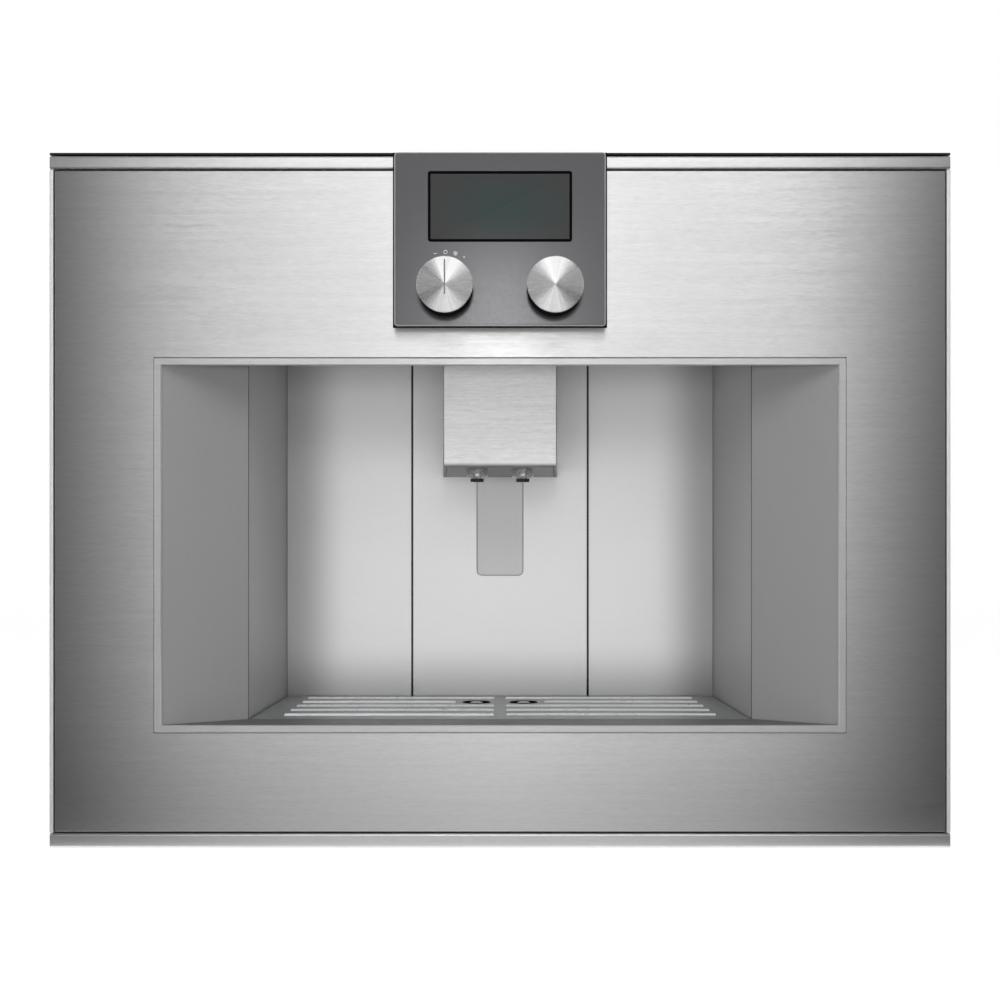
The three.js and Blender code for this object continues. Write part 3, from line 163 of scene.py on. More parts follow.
class CoffeeSizes(bpy.types.PropertyGroup):
    """Small sizes that only the looks need."""

    sheet_edge: length("Sheet edge", "Radius on the edges of sheet metal", 0.3 * MM)
    moulded_edge: length("Moulded edge", "Radius on the edges of mouldings", 0.8 * MM)
    trim_edge: length("Trim edge", "Radius on the long edges of the trims", 0.45 * MM)
    ring_edge: length("Ring edge", "Width of the chamfer round the niche ring", 0.7 * MM)
    plate_edge: length("Plate edge", "Width of the bright chamfer round the control plate", 0.75 * MM)
    # The black backing stands in for the shadow line round the plate: painted shadow.
    plate_shadow_rim: length("Plate rim", "Of the black backing past the control plate", 0.9 * MM)
    screen_border: length("Screen border", "Width of the black border of the screen", 1.4 * MM)
    cap_depth: length("Cap depth", "Depth of the steel caps of the knobs", 1.2 * MM)
    pointer_width: length("Pointer width", "Of the line on the selector", 1.1 * MM)
    pointer_low: length("Pointer low", "From the selector's axis to the line's lower end", 6.5 * MM)
    pointer_high: length("Pointer high", "From the selector's axis to the line's upper end", 16.1 * MM)
    mark_length: length("Mark length", "Of the marks round the selector", 2.6 * MM)
    mark_radius: length("Mark radius", "From the selector's axis to the marks", 24 * MM)
    hood_round: length("Hood round", "Radius on the outlet's lower front edge", 3.2 * MM)
    tip_height: length("Tip height", "Of the black tips of the nozzles", 2.2 * MM)
    # The dark edge round the slot is painted shade.
    slot_shade_edge: length("Slot edge", "Width of the dark edge of the slot", 0.7 * MM)
    fill_gap: length("Fill gap", "By which a sheet closes the fitting gap at its neighbour", 0.08 * MM)
    bar_edge: length("Bar edge", "Radius on the raised bars of the grate", 0.6 * MM)
    seal_width: length("Seal width", "Of the seal on the door's back", 4.5 * MM)
    seal_height: length("Seal height", "Of the seal on the door's back", 0.8 * MM)
    grip_width: length("Grip width", "Of the ribbed grips on the containers", 44 * MM)
    screw_radius: length("Screw radius", "Of a screw's head", 3.2 * MM)


def props(name):
    """The stage's, the finishes' or the sizes' values."""
    return getattr(bpy.context.scene, "coffee_" + name)


# ---- Modelling helpers ---------------------------------------------------------------------------------

def alone(piece):
    """Selects one piece, makes it the active one and returns it."""
    bpy.ops.object.select_all(action="DESELECT")
    piece.select_set(True)
    bpy.context.view_layer.objects.active = piece
    return piece


@contextlib.contextmanager
def editing(piece):
    """Edit mode on one piece, with nothing selected in it."""
    alone(piece)
    bpy.ops.object.mode_set(mode="EDIT")
    bpy.ops.mesh.select_mode(type="FACE")
    bpy.ops.mesh.select_all(action="DESELECT")
    yield piece
    bpy.ops.object.mode_set(mode="OBJECT")


def pick(piece, test, kind="faces"):
    """In edit mode, selects the faces, edges or verts that pass a test, and nothing else."""
    bpy.ops.mesh.select_mode(type={"faces": "FACE", "edges": "EDGE", "verts": "VERT"}[kind])
    bpy.ops.mesh.select_all(action="DESELECT")
    mesh = bmesh.from_edit_mesh(piece.data)
    for item in getattr(mesh, kind):
        if test(item):
            item.select_set(True)
    mesh.select_flush_mode()
    bmesh.update_edit_mesh(piece.data)


def facing(direction, limit=0.9):
    """A test for faces that look along a direction."""
    return lambda face: face.normal.dot(Vector(direction)) > limit


def modified(piece, kind, **values):
    """Adds a modifier to a piece and applies it."""
    alone(piece)
    modifier = piece.modifiers.new(kind.title(), kind)
    for key, value in values.items():
        setattr(modifier, key, value)
    bpy.ops.object.modifier_apply(modifier=modifier.name)
    return piece


def bevelled(piece, width, segments=2, sharp=30):
    """Rounds the edges of a piece that are sharper than an angle."""
    return modified(
        piece, "BEVEL", width=width, segments=segments, limit_method="ANGLE",
        angle_limit=math.radians(sharp), use_clamp_overlap=True, harden_normals=False,
    )


def seated(piece):
    """Puts a piece's place, turn and size into its mesh."""
    alone(piece)
    bpy.ops.object.transform_apply(location=True, rotation=True, scale=True)
    return piece


def named(name):
    """The piece that an operator has just added, named."""
    piece = bpy.context.object
    piece.name = piece.data.name = name
    return piece


def block(name, low, high):
    """A box between two corners, as a start."""
    bpy.ops.object.select_all(action="DESELECT")
    low, high = Vector(low), Vector(high)
    bpy.ops.mesh.primitive_cube_add(size=1, location=(low + high) / 2)
    bpy.context.object.scale = high - low
    return seated(named(name))


def hoop(name, low, high, wall):
    """A flat frame between two corners, open along Y."""
    piece = block(name, low, high)
    with editing(piece):
        pick(piece, lambda face: abs(face.normal.y) > 0.9)
        bpy.ops.mesh.inset(thickness=wall, depth=0, use_individual=True)
        bpy.ops.mesh.bridge_edge_loops()
    return piece


TURN = {"x": (0, math.pi / 2, 0), "y": (math.pi / 2, 0, 0), "z": (0, 0, 0)}


def rod(name, centre, radius, depth, sides):
    """An upright round bar about its centre, as a start."""
    bpy.ops.object.select_all(action="DESELECT")
    bpy.ops.mesh.primitive_cylinder_add(vertices=sides, radius=radius, depth=depth, location=centre)
    return seated(named(name))


def turned(name, centre, profile, axis="y", sides=64):
    """A round piece whose profile of (radius, place along the axis) pairs is spun about the axis."""
    bpy.ops.object.select_all(action="DESELECT")
    mesh = bpy.data.meshes.new(name)
    mesh.from_pydata([(r, 0, h) for r, h in profile], [(i, i + 1) for i in range(len(profile) - 1)], [])
    piece = bpy.data.objects.new(name, mesh)
    bpy.context.scene.collection.objects.link(piece)
    with editing(piece):
        bpy.ops.mesh.select_all(action="SELECT")
        bpy.ops.mesh.spin(steps=sides, angle=2 * math.pi, center=(0, 0, 0), axis=(0, 0, 1))
        bpy.ops.mesh.select_all(action="SELECT")
        bpy.ops.mesh.remove_doubles(threshold=MERGED)
        bpy.ops.mesh.normals_make_consistent(inside=False)
    piece.rotation_euler = TURN[axis]
    piece.location = centre
    return seated(piece)


def joined(name, pieces):
    """Several pieces as one mesh."""
    alone(pieces[0])
    for piece in pieces:
        piece.select_set(True)
    bpy.ops.object.join()
    return seated(named(name))


def repeated(piece, places):
    """One mesh that holds the piece as it stands and copies of it moved by each place."""
    copies = [piece]
    for place in places:
        copy = piece.copy()
        copy.data = piece.data.copy()
        bpy.context.scene.collection.objects.link(copy)
        copy.location = place
        copies.append(copy)
    return joined(piece.name, copies)


def traced(name, node):
    """A copy of a node's mesh, with its doubles merged and its flat faces whole."""
    mesh = NODES[node].data.copy()
    mesh.name = name
    mesh.materials.clear()
    piece = bpy.data.objects.new(name, mesh)
    bpy.context.scene.collection.objects.link(piece)
    with editing(piece):
        bpy.ops.mesh.select_all(action="SELECT")
        bpy.ops.mesh.remove_doubles(threshold=MERGED)
        bpy.ops.mesh.dissolve_limited(angle_limit=math.radians(0.5))
    return piece


def painted(piece, *finishes):
    """Gives a piece its finishes, of which its faces then name one by number."""
    for finish in finishes:
        piece.data.materials.append(surface(finish))
    return piece


def fitted(piece, finish, body, slot, *nodes, smooth=35):
    """Gives a piece its finish, unless it is painted, and its body, and hides the nodes that it replaces; the
    slot is not used.
    """
    alone(piece)
    bpy.ops.object.shade_smooth_by_angle(angle=math.radians(smooth))
    modified(piece, "WEIGHTED_NORMAL", keep_sharp=True, weight=100)
    if not piece.data.materials:
        painted(piece, finish)
    if nodes:
        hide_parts(*nodes)
    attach(piece, body)


def standing(piece, finish, node):
    """Fits a piece that stands for a node on that node's body, and hides the node."""
    fitted(piece, finish, BODY_OF[node], SLOT_OF[node], node)


def dressed(node, name, finish, edge, segments=2):
    """A copy of a node with rounded edges, which stands for the node."""
    standing(bevelled(traced(name, node), edge, segments), finish, node)


def upright(node):
    """The middle of a round node's foot, its radius and its height."""
    low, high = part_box(node)
    middle = Vector(((low.x + high.x) / 2, (low.y + high.y) / 2, low.z))
    return middle, (high.x - low.x) / 2, high.z - low.z


# ---- Materials ------------------------------------------------------------------------------------------

class Tree:
    """A node tree under construction: adds nodes and links them by socket name."""

    def __init__(self, owner):
        owner.use_nodes = True
        self.tree = owner.node_tree

    def feed(self, node, socket, value):
        """Sets an input socket, found by its name or number, to a value or a link."""
        target = node.inputs[socket]
        if isinstance(value, bpy.types.NodeSocket):
            self.tree.links.new(value, target)
        else:
            target.default_value = value

    def add(self, kind, inputs, **values):
        """A node with its settings and its inputs, each a value or another node's output socket."""
        node = self.tree.nodes.new("ShaderNode" + kind)
        for key, value in values.items():
            setattr(node, key, value)
        for socket, value in inputs.items():
            self.feed(node, socket, value)
        return node

    def number(self, operation, first, second=0.0):
        """The result of a sum on one or two numbers."""
        return self.add("Math", {0: first, 1: second}, operation=operation).outputs[0]

    def shown_white(self, shader, rgb, cover, light, glow=1.0):
        """A shader that gives way to a plain light for the camera, for gloss and through glass."""
        path = self.add("LightPath", {}).outputs
        seen = self.number("MAXIMUM", path["Is Camera Ray"], path["Is Glossy Ray"])
        seen = self.number("MAXIMUM", seen, path["Is Transmission Ray"])
        plain = self.add(light, {"Color": (*rgb, 1), "Strength": glow})
        inputs = {"Fac": self.number("MULTIPLY", seen, cover), 1: shader, 2: plain.outputs[0]}
        return self.add("MixShader", inputs).outputs[0]

    def show(self, shader, output):
        """Makes a shader the tree's result."""
        self.feed(self.tree.nodes[output], "Surface", shader)


class Surface(Tree):
    """A material under construction, about its principled shader."""

    def __init__(self, name):
        self.material = bpy.data.materials.new(name)
        super().__init__(self.material)
        self.shader = self.tree.nodes["Principled BSDF"]

    def set(self, inputs):
        """Sets sockets of the principled shader."""
        for socket, value in inputs.items():
            self.feed(self.shader, socket, value)
        return self

    def place(self, scale=(1, 1, 1), centre=(0, 0, 0)):
        """Object coordinates about a centre, scaled per metre."""
        where = self.add("TexCoord", {}).outputs["Object"]
        moved = tuple(-c * s for c, s in zip(centre, scale))
        return self.add("Mapping", {"Vector": where, "Location": moved, "Scale": scale}).outputs["Vector"]

    def noise(self, scale, detail=2.0, roughness=0.5, distortion=0.0):
        """A smooth random number from 0 to 1, with its own scale along each axis."""
        inputs = {"Vector": self.place(scale), "Scale": 1.0, "Detail": detail, "Roughness": roughness,
                  "Distortion": distortion}
        return self.add("TexNoise", inputs).outputs["Fac"]

    def mixed(self, first, second, part):
        """A number made of a part of the first and the rest of the second."""
        rest = self.number("MULTIPLY", second, 1 - part)
        return self.number("ADD", self.number("MULTIPLY", first, part), rest)

    def between(self, factor, low, high, start=0.3, stop=0.7):
        """A number that runs from low to high as the factor runs from start to stop."""
        inputs = {"Value": factor, "From Min": start, "From Max": stop, "To Min": low, "To Max": high}
        return self.add("MapRange", inputs).outputs["Result"]

    def shade(self, factor, dark, light, start=0.3, stop=0.7):
        """A colour between two, by the factor."""
        ramp = self.add("ValToRGB", {"Fac": factor})
        for element, place, rgb in zip(ramp.color_ramp.elements, (start, stop), (dark, light)):
            element.position = place
            element.color = (*rgb, 1)
        return ramp.outputs["Color"]

    def painted_edge_shade(self, rgb, low, high, depth, reach):
        """The colour with painted shade: darker within reach of the sides and the bottom of a box's front."""
        parts = self.add("SeparateXYZ", {0: self.place()}).outputs
        factor = 1.0
        for part, start, sign in ((parts["X"], low.x, 1), (parts["X"], high.x, -1), (parts["Z"], low.z, 1)):
            away = self.number("MULTIPLY", self.number("SUBTRACT", part, start), sign)
            ends = {"Value": away, "From Min": 0.0, "From Max": reach, "To Min": 1 - depth, "To Max": 1.0}
            fall = self.add("MapRange", ends, interpolation_type="SMOOTHERSTEP")
            factor = self.number("MULTIPLY", fall.outputs["Result"], factor)
        return self.add("VectorMath", {0: rgb, "Scale": factor}, operation="SCALE").outputs["Vector"]

    def round_axis(self, axis):
        """Runs the grain round an axis, so that gloss spreads at right angles to it."""
        tangent = self.add("Tangent", {}, direction_type="RADIAL", axis=axis)
        return self.set({"Tangent": tangent.outputs[0], "Anisotropic Rotation": 0.25})

    def bump(self, height, distance, strength, normal=None):
        """Relief from a height, over the shape or over another relief."""
        inputs = {"Height": height, "Distance": distance, "Strength": strength}
        if normal:
            inputs["Normal"] = normal
        node = self.add("Bump", inputs)
        return self.set({"Normal": node.outputs["Normal"]})


def tinted(rgb, factor):
    """A colour made lighter or darker."""
    return tuple(min(1.0, c * factor) for c in rgb)


GRAIN = {"x": (170, 170, 1500), "y": (1500, 170, 1500), "z": (1500, 1500, 170)}
STREAK = {"x": (14, 14, 420), "y": (420, 14, 420), "z": (420, 420, 14)}


def brushed(name, rgb, roughness=0.34, along="x", contrast=0.05, anisotropic=0.85, metallic=1.0, wave=0.0,
            painted_shade=None, coarse=1.0):
    """Brushed sheet: short fine strokes and longer streaks along one axis, in colour, gloss and relief."""
    made = Surface(name)
    scale = [count / coarse for count in GRAIN[along]]
    strokes = made.noise(scale, detail=3.0, roughness=0.6, distortion=wave)
    streaks = made.noise(STREAK[along])
    grain = made.mixed(strokes, streaks, 0.7)
    shade = made.shade(grain, tinted(rgb, 1 - contrast), tinted(rgb, 1 + contrast), 0.35, 0.65)
    made.set({
        "Metallic": metallic,
        # Where a box is given, its sides and bottom take painted shade.
        "Base Color": made.painted_edge_shade(shade, *painted_shade) if painted_shade else shade,
        "Roughness": made.between(grain, roughness + 0.04, roughness - 0.04, 0.35, 0.65),
        "Anisotropic": anisotropic,
    })
    made.round_axis("Y" if along == "y" else "Z" if along == "x" else "X")
    return made.bump(grain, 0.00002, min(1.0, 6 * contrast)).material


def spun(name, rgb, centre, roughness=0.27, slope=0.32):
    """Spun steel: rings round an axis along Y, which give the cone-shaped lights."""
    made = Surface(name)
    across = made.place((1, 0, 1), centre)
    radius = made.add("VectorMath", {0: across}, operation="LENGTH").outputs["Value"]
    rings = made.add("TexNoise", {"W": radius, "Scale": 5200.0, "Detail": 2.0}, noise_dimensions="1D")
    outwards = made.add("VectorMath", {0: across}, operation="NORMALIZE").outputs["Vector"]
    rays = made.add("TexNoise", {"Vector": outwards, "Scale": 4.5, "Detail": 3.0}).outputs["Fac"]
    grain = made.mixed(rings.outputs["Fac"], rays, 0.5)
    made.set({
        "Metallic": 1.0,
        "Base Color": made.shade(grain, tinted(rgb, 0.9), tinted(rgb, 1.08), 0.38, 0.62),
        "Roughness": made.between(grain, roughness + 0.03, roughness - 0.03),
        "Anisotropic": 0.92,
    })
    made.round_axis("Y")
    cone = made.add("Bump", {"Height": radius, "Distance": slope, "Strength": 1.0}, invert=True)
    return made.bump(grain, 0.00001, 0.25, cone.outputs["Normal"]).material


def moulded(name, rgb, roughness=0.5, metallic=0.0, speckle=1700.0, relief=0.00002, mottle=0.04, gloss=0.5):
    """Moulded, painted or blasted surface: a fine texture, and a slow drift of colour and gloss."""
    made = Surface(name)
    drift = made.noise((11, 11, 11), detail=4.0)
    texture = made.noise((speckle, speckle, speckle))
    made.set({
        "Metallic": metallic,
        "Base Color": made.shade(drift, tinted(rgb, 1 - mottle), tinted(rgb, 1 + mottle)),
        "Roughness": made.between(texture, roughness + 0.05, roughness - 0.05),
        "Specular IOR Level": gloss,
    })
    return made.bump(texture, relief, 0.5).material


def galvanised(name, rgb):
    """Zinc sheet: flat crystals, each with its own shade and gloss, and long rolling marks."""
    made = Surface(name)
    crystals = made.add("TexVoronoi", {"Vector": made.place((150, 150, 150)), "Scale": 1.0})
    rolled = made.noise((30, 30, 700))
    mixed = made.mixed(crystals.outputs["Color"], rolled, 0.6)
    made.set({
        "Metallic": 0.95,
        "Base Color": made.shade(mixed, tinted(rgb, 0.86), tinted(rgb, 1.1), 0.2, 0.8),
        "Roughness": made.between(mixed, 0.5, 0.34, 0.2, 0.8),
    })
    return made.bump(rolled, 0.00002, 0.3).material


def see_through(name, rgb, roughness=0.06):
    """Clear moulded plastic, slightly uneven, with a faint tint."""
    made = Surface(name)
    flow = made.noise((35, 35, 12))
    made.set({
        "Base Color": made.shade(flow, tinted(rgb, 0.98), rgb),
        "Roughness": made.between(flow, roughness + 0.03, roughness),
        "Transmission Weight": 1.0,
        "IOR": 1.49,
    })
    return made.bump(flow, 0.0002, 0.15).material


def coated(name, rgb, roughness=0.08):
    """Dark glass over an even ground, darker towards its edge."""
    low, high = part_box("display_screen")
    tint = (1.02, 0.98, 1.0)  # of the edge, against its even grey
    made = Surface(name)
    middle = made.place((1 / (high.x - low.x), 0, 1 / (high.z - low.z)), (low + high) / 2)
    away = made.add("VectorMath", {0: middle}, operation="LENGTH").outputs["Value"]
    haze = made.noise((60, 60, 60))
    made.set({
        "Base Color": made.shade(away, rgb, tuple(sum(rgb) / 3 * part for part in tint), 0.0, 0.6),
        "Roughness": made.between(haze, roughness + 0.03, roughness),
        "Specular IOR Level": 0.3,
    })
    return made.bump(haze, 0.0001, 0.05).material


def printed_board(name, rgb):
    """Lacquered board with lighter copper tracks under the lacquer."""
    made = Surface(name)
    tracks = made.add(
        "TexBrick",
        {"Vector": made.place((90, 90, 90)), "Scale": 4.0, "Mortar Size": 0.06, "Color1": (1, 1, 1, 1),
         "Color2": (0.8, 0.8, 0.8, 1), "Mortar": (0, 0, 0, 1)},
    ).outputs["Fac"]
    made.set({
        "Base Color": made.shade(tracks, rgb, tinted(rgb, 2.2), 0.2, 0.8),
        "Roughness": made.between(tracks, 0.35, 0.28, 0.0, 1.0),
    })
    return made.bump(tracks, 0.00004, 0.4).material


def niche_painted_shade():
    """The niche's back, as two corners a little past it, the depth of the painted shade and its reach."""
    low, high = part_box("niche_back_left")[0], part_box("niche_back_right")[1]
    margin = Vector((0, 0, 9 * MM))
    depth, reach = 0.42, 55 * MM
    return low - margin, high + margin, depth, reach


def hood_painted_shade():
    """The outlet's lower edge, as two corners past its sides, the depth of the painted shade and its reach.
    """
    low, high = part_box("outlet_shell")
    margin = Vector((high.x - low.x, 0, 0))
    depth, reach = 0.5, 1.2 * props("sizes").hood_round
    return low - margin, high + margin, depth, reach


def knob_axis(node):
    """The middle of a knob."""
    low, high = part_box(node)
    return (low + high) / 2


def surface(name):
    """A finish by its name, made on its first use."""
    known = bpy.data.materials.get(name)
    if known:
        return known
    tone = props("finishes")
    makers = {
        "door_steel": lambda: brushed(name, tone.steel, 0.34),
        "trim_steel": lambda: brushed(name, tone.trim, 0.34, anisotropic=0.7, metallic=0.95),
        # The trims' steel at 0.78 of its colour: painted shade on the side trims.
        "side_trim_steel": lambda: brushed(name, tinted(tone.trim, 0.78), 0.42, "z", 0.05, 0.3, 0.6),
        "ring_steel": lambda: brushed(name, tone.ring, 0.36, contrast=0.03, metallic=0.8),
        "reveal_steel": lambda: brushed(name, tone.reveal, 0.45, "z", 0.008, 0.3, 0.3),
        "sill_steel": lambda: brushed(name, tinted(tone.reveal, 0.5), 0.45, "x", 0.008, 0.3, 0.2),
        # The back panels take painted shade towards the niche's sides and floor.
        "niche_steel": lambda: brushed(name, tone.panel, 0.42, "x", 0.008, 0.0, 0.7, painted_shade=niche_painted_shade()),
        "blind_steel": lambda: brushed(name, tone.blind, 0.45, "z", 0.01, 0.2, 0.3),
        # The blind's steel at half its colour: painted shade round the slot.
        "slot_steel": lambda: brushed(name, tinted(tone.blind, 0.5), 0.45, "z", 0.01, 0.2, 0.3),
        "wall_steel": lambda: brushed(name, tone.walls, 0.42, "z", 0.008, 0.3, 0.35),
        # The outlet's shell takes painted shade towards its rounded lower edge.
        "outlet_steel": lambda: brushed(name, tone.outlet, 0.4, "x", 0.11, 0.4, 0.3, 1.2, hood_painted_shade(), 1.7),
        # The outlet's steel at 0.42 of its colour: painted shade on faces that look down.
        "under_steel": lambda: brushed(name, tinted(tone.outlet, 0.42), 0.4, "x", 0.03, 0.0, 0.5),
        "grate_steel": lambda: brushed(name, tone.grate, 0.38, "x", 0.04, 0.4, 0.5),
        # Much lighter than the grate's sheet: painted highlight on the raised bars.
        "bar_steel": lambda: brushed(name, tone.bars, 0.3, "x", 0.03, 0.0, 0.25),
        "anodised": lambda: moulded(name, tone.anodised, 0.19, 0.9, 2600.0, 0.0000004, 0.03),
        "selector_steel": lambda: spun(name, tone.spun, knob_axis("selector_knob")),
        "menu_steel": lambda: spun(name, tone.spun, knob_axis("menu_knob")),
        "screen_glass": lambda: coated(name, tone.glass),
        "screen_rim": lambda: moulded(name, tinted(tone.black, 0.1), 0.6, relief=0.000002, gloss=0.0),
        "mark_paint": lambda: moulded(name, (0.42, 0.42, 0.42), 0.5),
        "pointer_ink": lambda: moulded(name, (0.09, 0.09, 0.09), 0.4, relief=0.000004),
        "edge_steel": lambda: brushed(name, tinted(tone.ring, 0.5), 0.45, "x", 0.02, 0.0, 0.3),
        "chrome": lambda: moulded(name, tone.chrome, 0.12, 1.0, relief=0.000002, mottle=0.02),
        "satin_chrome": lambda: moulded(name, tone.chrome, 0.27, 0.88, relief=0.000001, mottle=0.02),
        "skirt_black": lambda: moulded(name, tinted(tone.black, 0.25), 0.6, relief=0.000004, gloss=0.03),
        "black_moulding": lambda: moulded(name, tone.black, 0.45),
        "black_paint": lambda: moulded(name, tinted(tone.black, 0.4), 0.45, relief=0.00001, gloss=0.12),
        "grey_moulding": lambda: moulded(name, tone.charcoal, 0.48),
        "rubber": lambda: moulded(name, tone.rubber, 0.75, speckle=900.0),
        "zinc_sheet": lambda: galvanised(name, tone.zinc),
        "clear_moulding": lambda: see_through(name, tone.clear),
        "boiler_metal": lambda: brushed(name, tone.boiler, 0.3, "z"),
        "board": lambda: printed_board(name, tone.board),
        "bright_steel": lambda: brushed(name, tone.chrome, 0.22, "z", contrast=0.03),
    }
    return makers[name]()


# ---- Stage ------------------------------------------------------------------------------------------------

def area_lamp(name, place, towards, size, watts):
    """A rectangular lamp that gloss doesn't see."""
    data = bpy.data.lights.new(name, "AREA")
    data.shape = "RECTANGLE"
    data.size, data.size_y = size
    data.energy = watts
    lamp = bpy.data.objects.new(name, data)
    bpy.context.scene.collection.objects.link(lamp)
    lamp.location = place
    lamp.rotation_euler = (Vector(towards) - Vector(place)).to_track_quat("-Z", "Y").to_euler()
    lamp.visible_glossy = False


def card(name, low, high, glows):
    """A card that only gloss sees, lit by soft patches: (level, middle, reaches, blend, level outside)."""
    made = Surface(name)
    total = 0.0
    for level, middle, reaches, blend, outside in glows:
        parts = made.add("SeparateXYZ", {0: made.place(centre=middle)}).outputs
        strength = level
        for axis, reach in reaches.items():
            ends = {"Value": made.number("ABSOLUTE", parts[axis]), "From Min": reach - blend / 2,
                    "From Max": reach + blend / 2, "To Min": 1.0, "To Max": outside.get(axis, 0.0)}
            fall = made.add("MapRange", ends, interpolation_type="SMOOTHSTEP")
            strength = made.number("MULTIPLY", fall.outputs["Result"], strength)
        total = made.number("ADD", strength, total)
    made.show(made.add("Emission", {"Strength": total}).outputs[0], "Material Output")
    piece = block(name, low, high)
    piece.data.materials.append(made.material)
    piece.visible_camera = piece.visible_diffuse = piece.visible_shadow = False
    piece.visible_transmission = False


class COFFEE_OT_stage(bpy.types.Operator):
    """Set the camera, the lamps, the cards, the background and the floor"""

    bl_idname = "coffee.stage"
    bl_label = "Stage"

    def execute(self, context):
        stage = props("stage")
        scene = context.scene
        scene.view_settings.view_transform = "Standard"
        self.camera(scene, stage)
        self.background(scene, stage)
        self.cards(stage)
        key_place = (-0.08, FRONT_Y - stage.key_distance, stage.key_height)
        sill_place = (0, FRONT_Y - stage.sill_distance, stage.sill_height)
        area_lamp("key", key_place, (0, 0, 0.22), (1.0, 1.8 * stage.key_height), stage.key_power)
        area_lamp("sill", sill_place, (0, FRONT_Y + 0.17, 0.09), (0.8, 0.8), stage.sill_power)
        area_lamp("top", (0, -0.1, stage.top_height), (0, 0, 0.2), (1.6, 1.0), stage.top_power)
        return {"FINISHED"}

    def camera(self, scene, stage):
        """A level camera, whose shift puts the horizon below the picture's middle."""
        data = bpy.data.cameras.new("camera")
        data.sensor_fit = "HORIZONTAL"
        data.lens = data.sensor_width * stage.camera_distance / stage.view_width
        data.shift_y = stage.horizon_drop
        camera = bpy.data.objects.new("camera", data)
        scene.collection.objects.link(camera)
        camera.location = (0, FRONT_Y - stage.camera_distance, stage.camera_height)
        camera.rotation_euler = (math.pi / 2, 0, 0)
        scene.camera = camera

    def background(self, scene, stage):
        """The fill light and a floor that catches the shadow, both seen as plain white."""
        scene.world = bpy.data.worlds.new("studio")
        studio = Tree(scene.world)
        fill = studio.tree.nodes["Background"]
        studio.feed(fill, "Color", (1, 1, 1, 1))
        studio.feed(fill, "Strength", stage.fill)
        shown = studio.shown_white(fill.outputs[0], stage.backdrop, 1.0, "Background")
        studio.show(shown, "World Output")

        ground = Surface("floor")
        drift = ground.noise((3, 3, 3))
        ground.set({
            "Base Color": ground.shade(drift, tinted(stage.floor, 0.99), stage.floor),
            "Roughness": ground.between(drift, 0.75, 0.7),
        })
        shown = ground.shown_white(ground.shader.outputs[0], (1, 1, 1), stage.floor_shown, "Emission",
                                   stage.floor_glow)
        ground.show(shown, "Material Output")
        floor = block("floor", (-6, -6, -0.02), (6, 6, 0))
        floor.data.materials.append(ground.material)

    def cards(self, stage):
        """The cards in front, above and on the floor, which the steel mirrors."""
        half, top, thin = stage.card_half, stage.card_top, 10 * MM
        wall_y = FRONT_Y - stage.card_distance
        outside = {"X": stage.card_dark, "Z": stage.card_low}
        card("front_card", (-half, wall_y - thin, -thin), (half, wall_y, top), [
            (stage.card_level, (stage.card_aside, 0, stage.card_height),
             {"X": stage.card_gap, "Z": stage.card_reach}, stage.card_blend, outside),
            (stage.side_level, (0.46, 0, 0.9), {"X": 0.08, "Z": 0.45}, 0.2, {}),
            (stage.glint_level, (0, 0, 0.53), {"X": 0.06, "Z": 0.09}, 0.11, {}),
            (stage.upper_level, (0.06, 0, 1.45), {"X": 0.55, "Z": 0.45}, 0.3, {}),
        ])
        card("upper_card", (-half, wall_y + thin, top), (half, FRONT_Y - 0.25, top + thin), [])
        near_gap, far_gap = 0.33 * stage.card_gap, 0.76 * stage.card_gap
        card("floor_card", (-half, wall_y + thin, MM), (half, FRONT_Y - thin, 2 * MM), [
            (stage.near_level, (-0.02, FRONT_Y, 0), {"X": near_gap, "Y": 0.45}, 0.24, outside),
            (stage.far_level, (-0.03, FRONT_Y - 0.9, 0), {"X": far_gap, "Y": 0.45}, 0.3, outside),
            (stage.low_level, (0, FRONT_Y - 0.65, 0), {"X": 0.28, "Y": 0.3}, 0.3, {}),
        ])


# ---- Door ---------------------------------------------------------------------------------------------

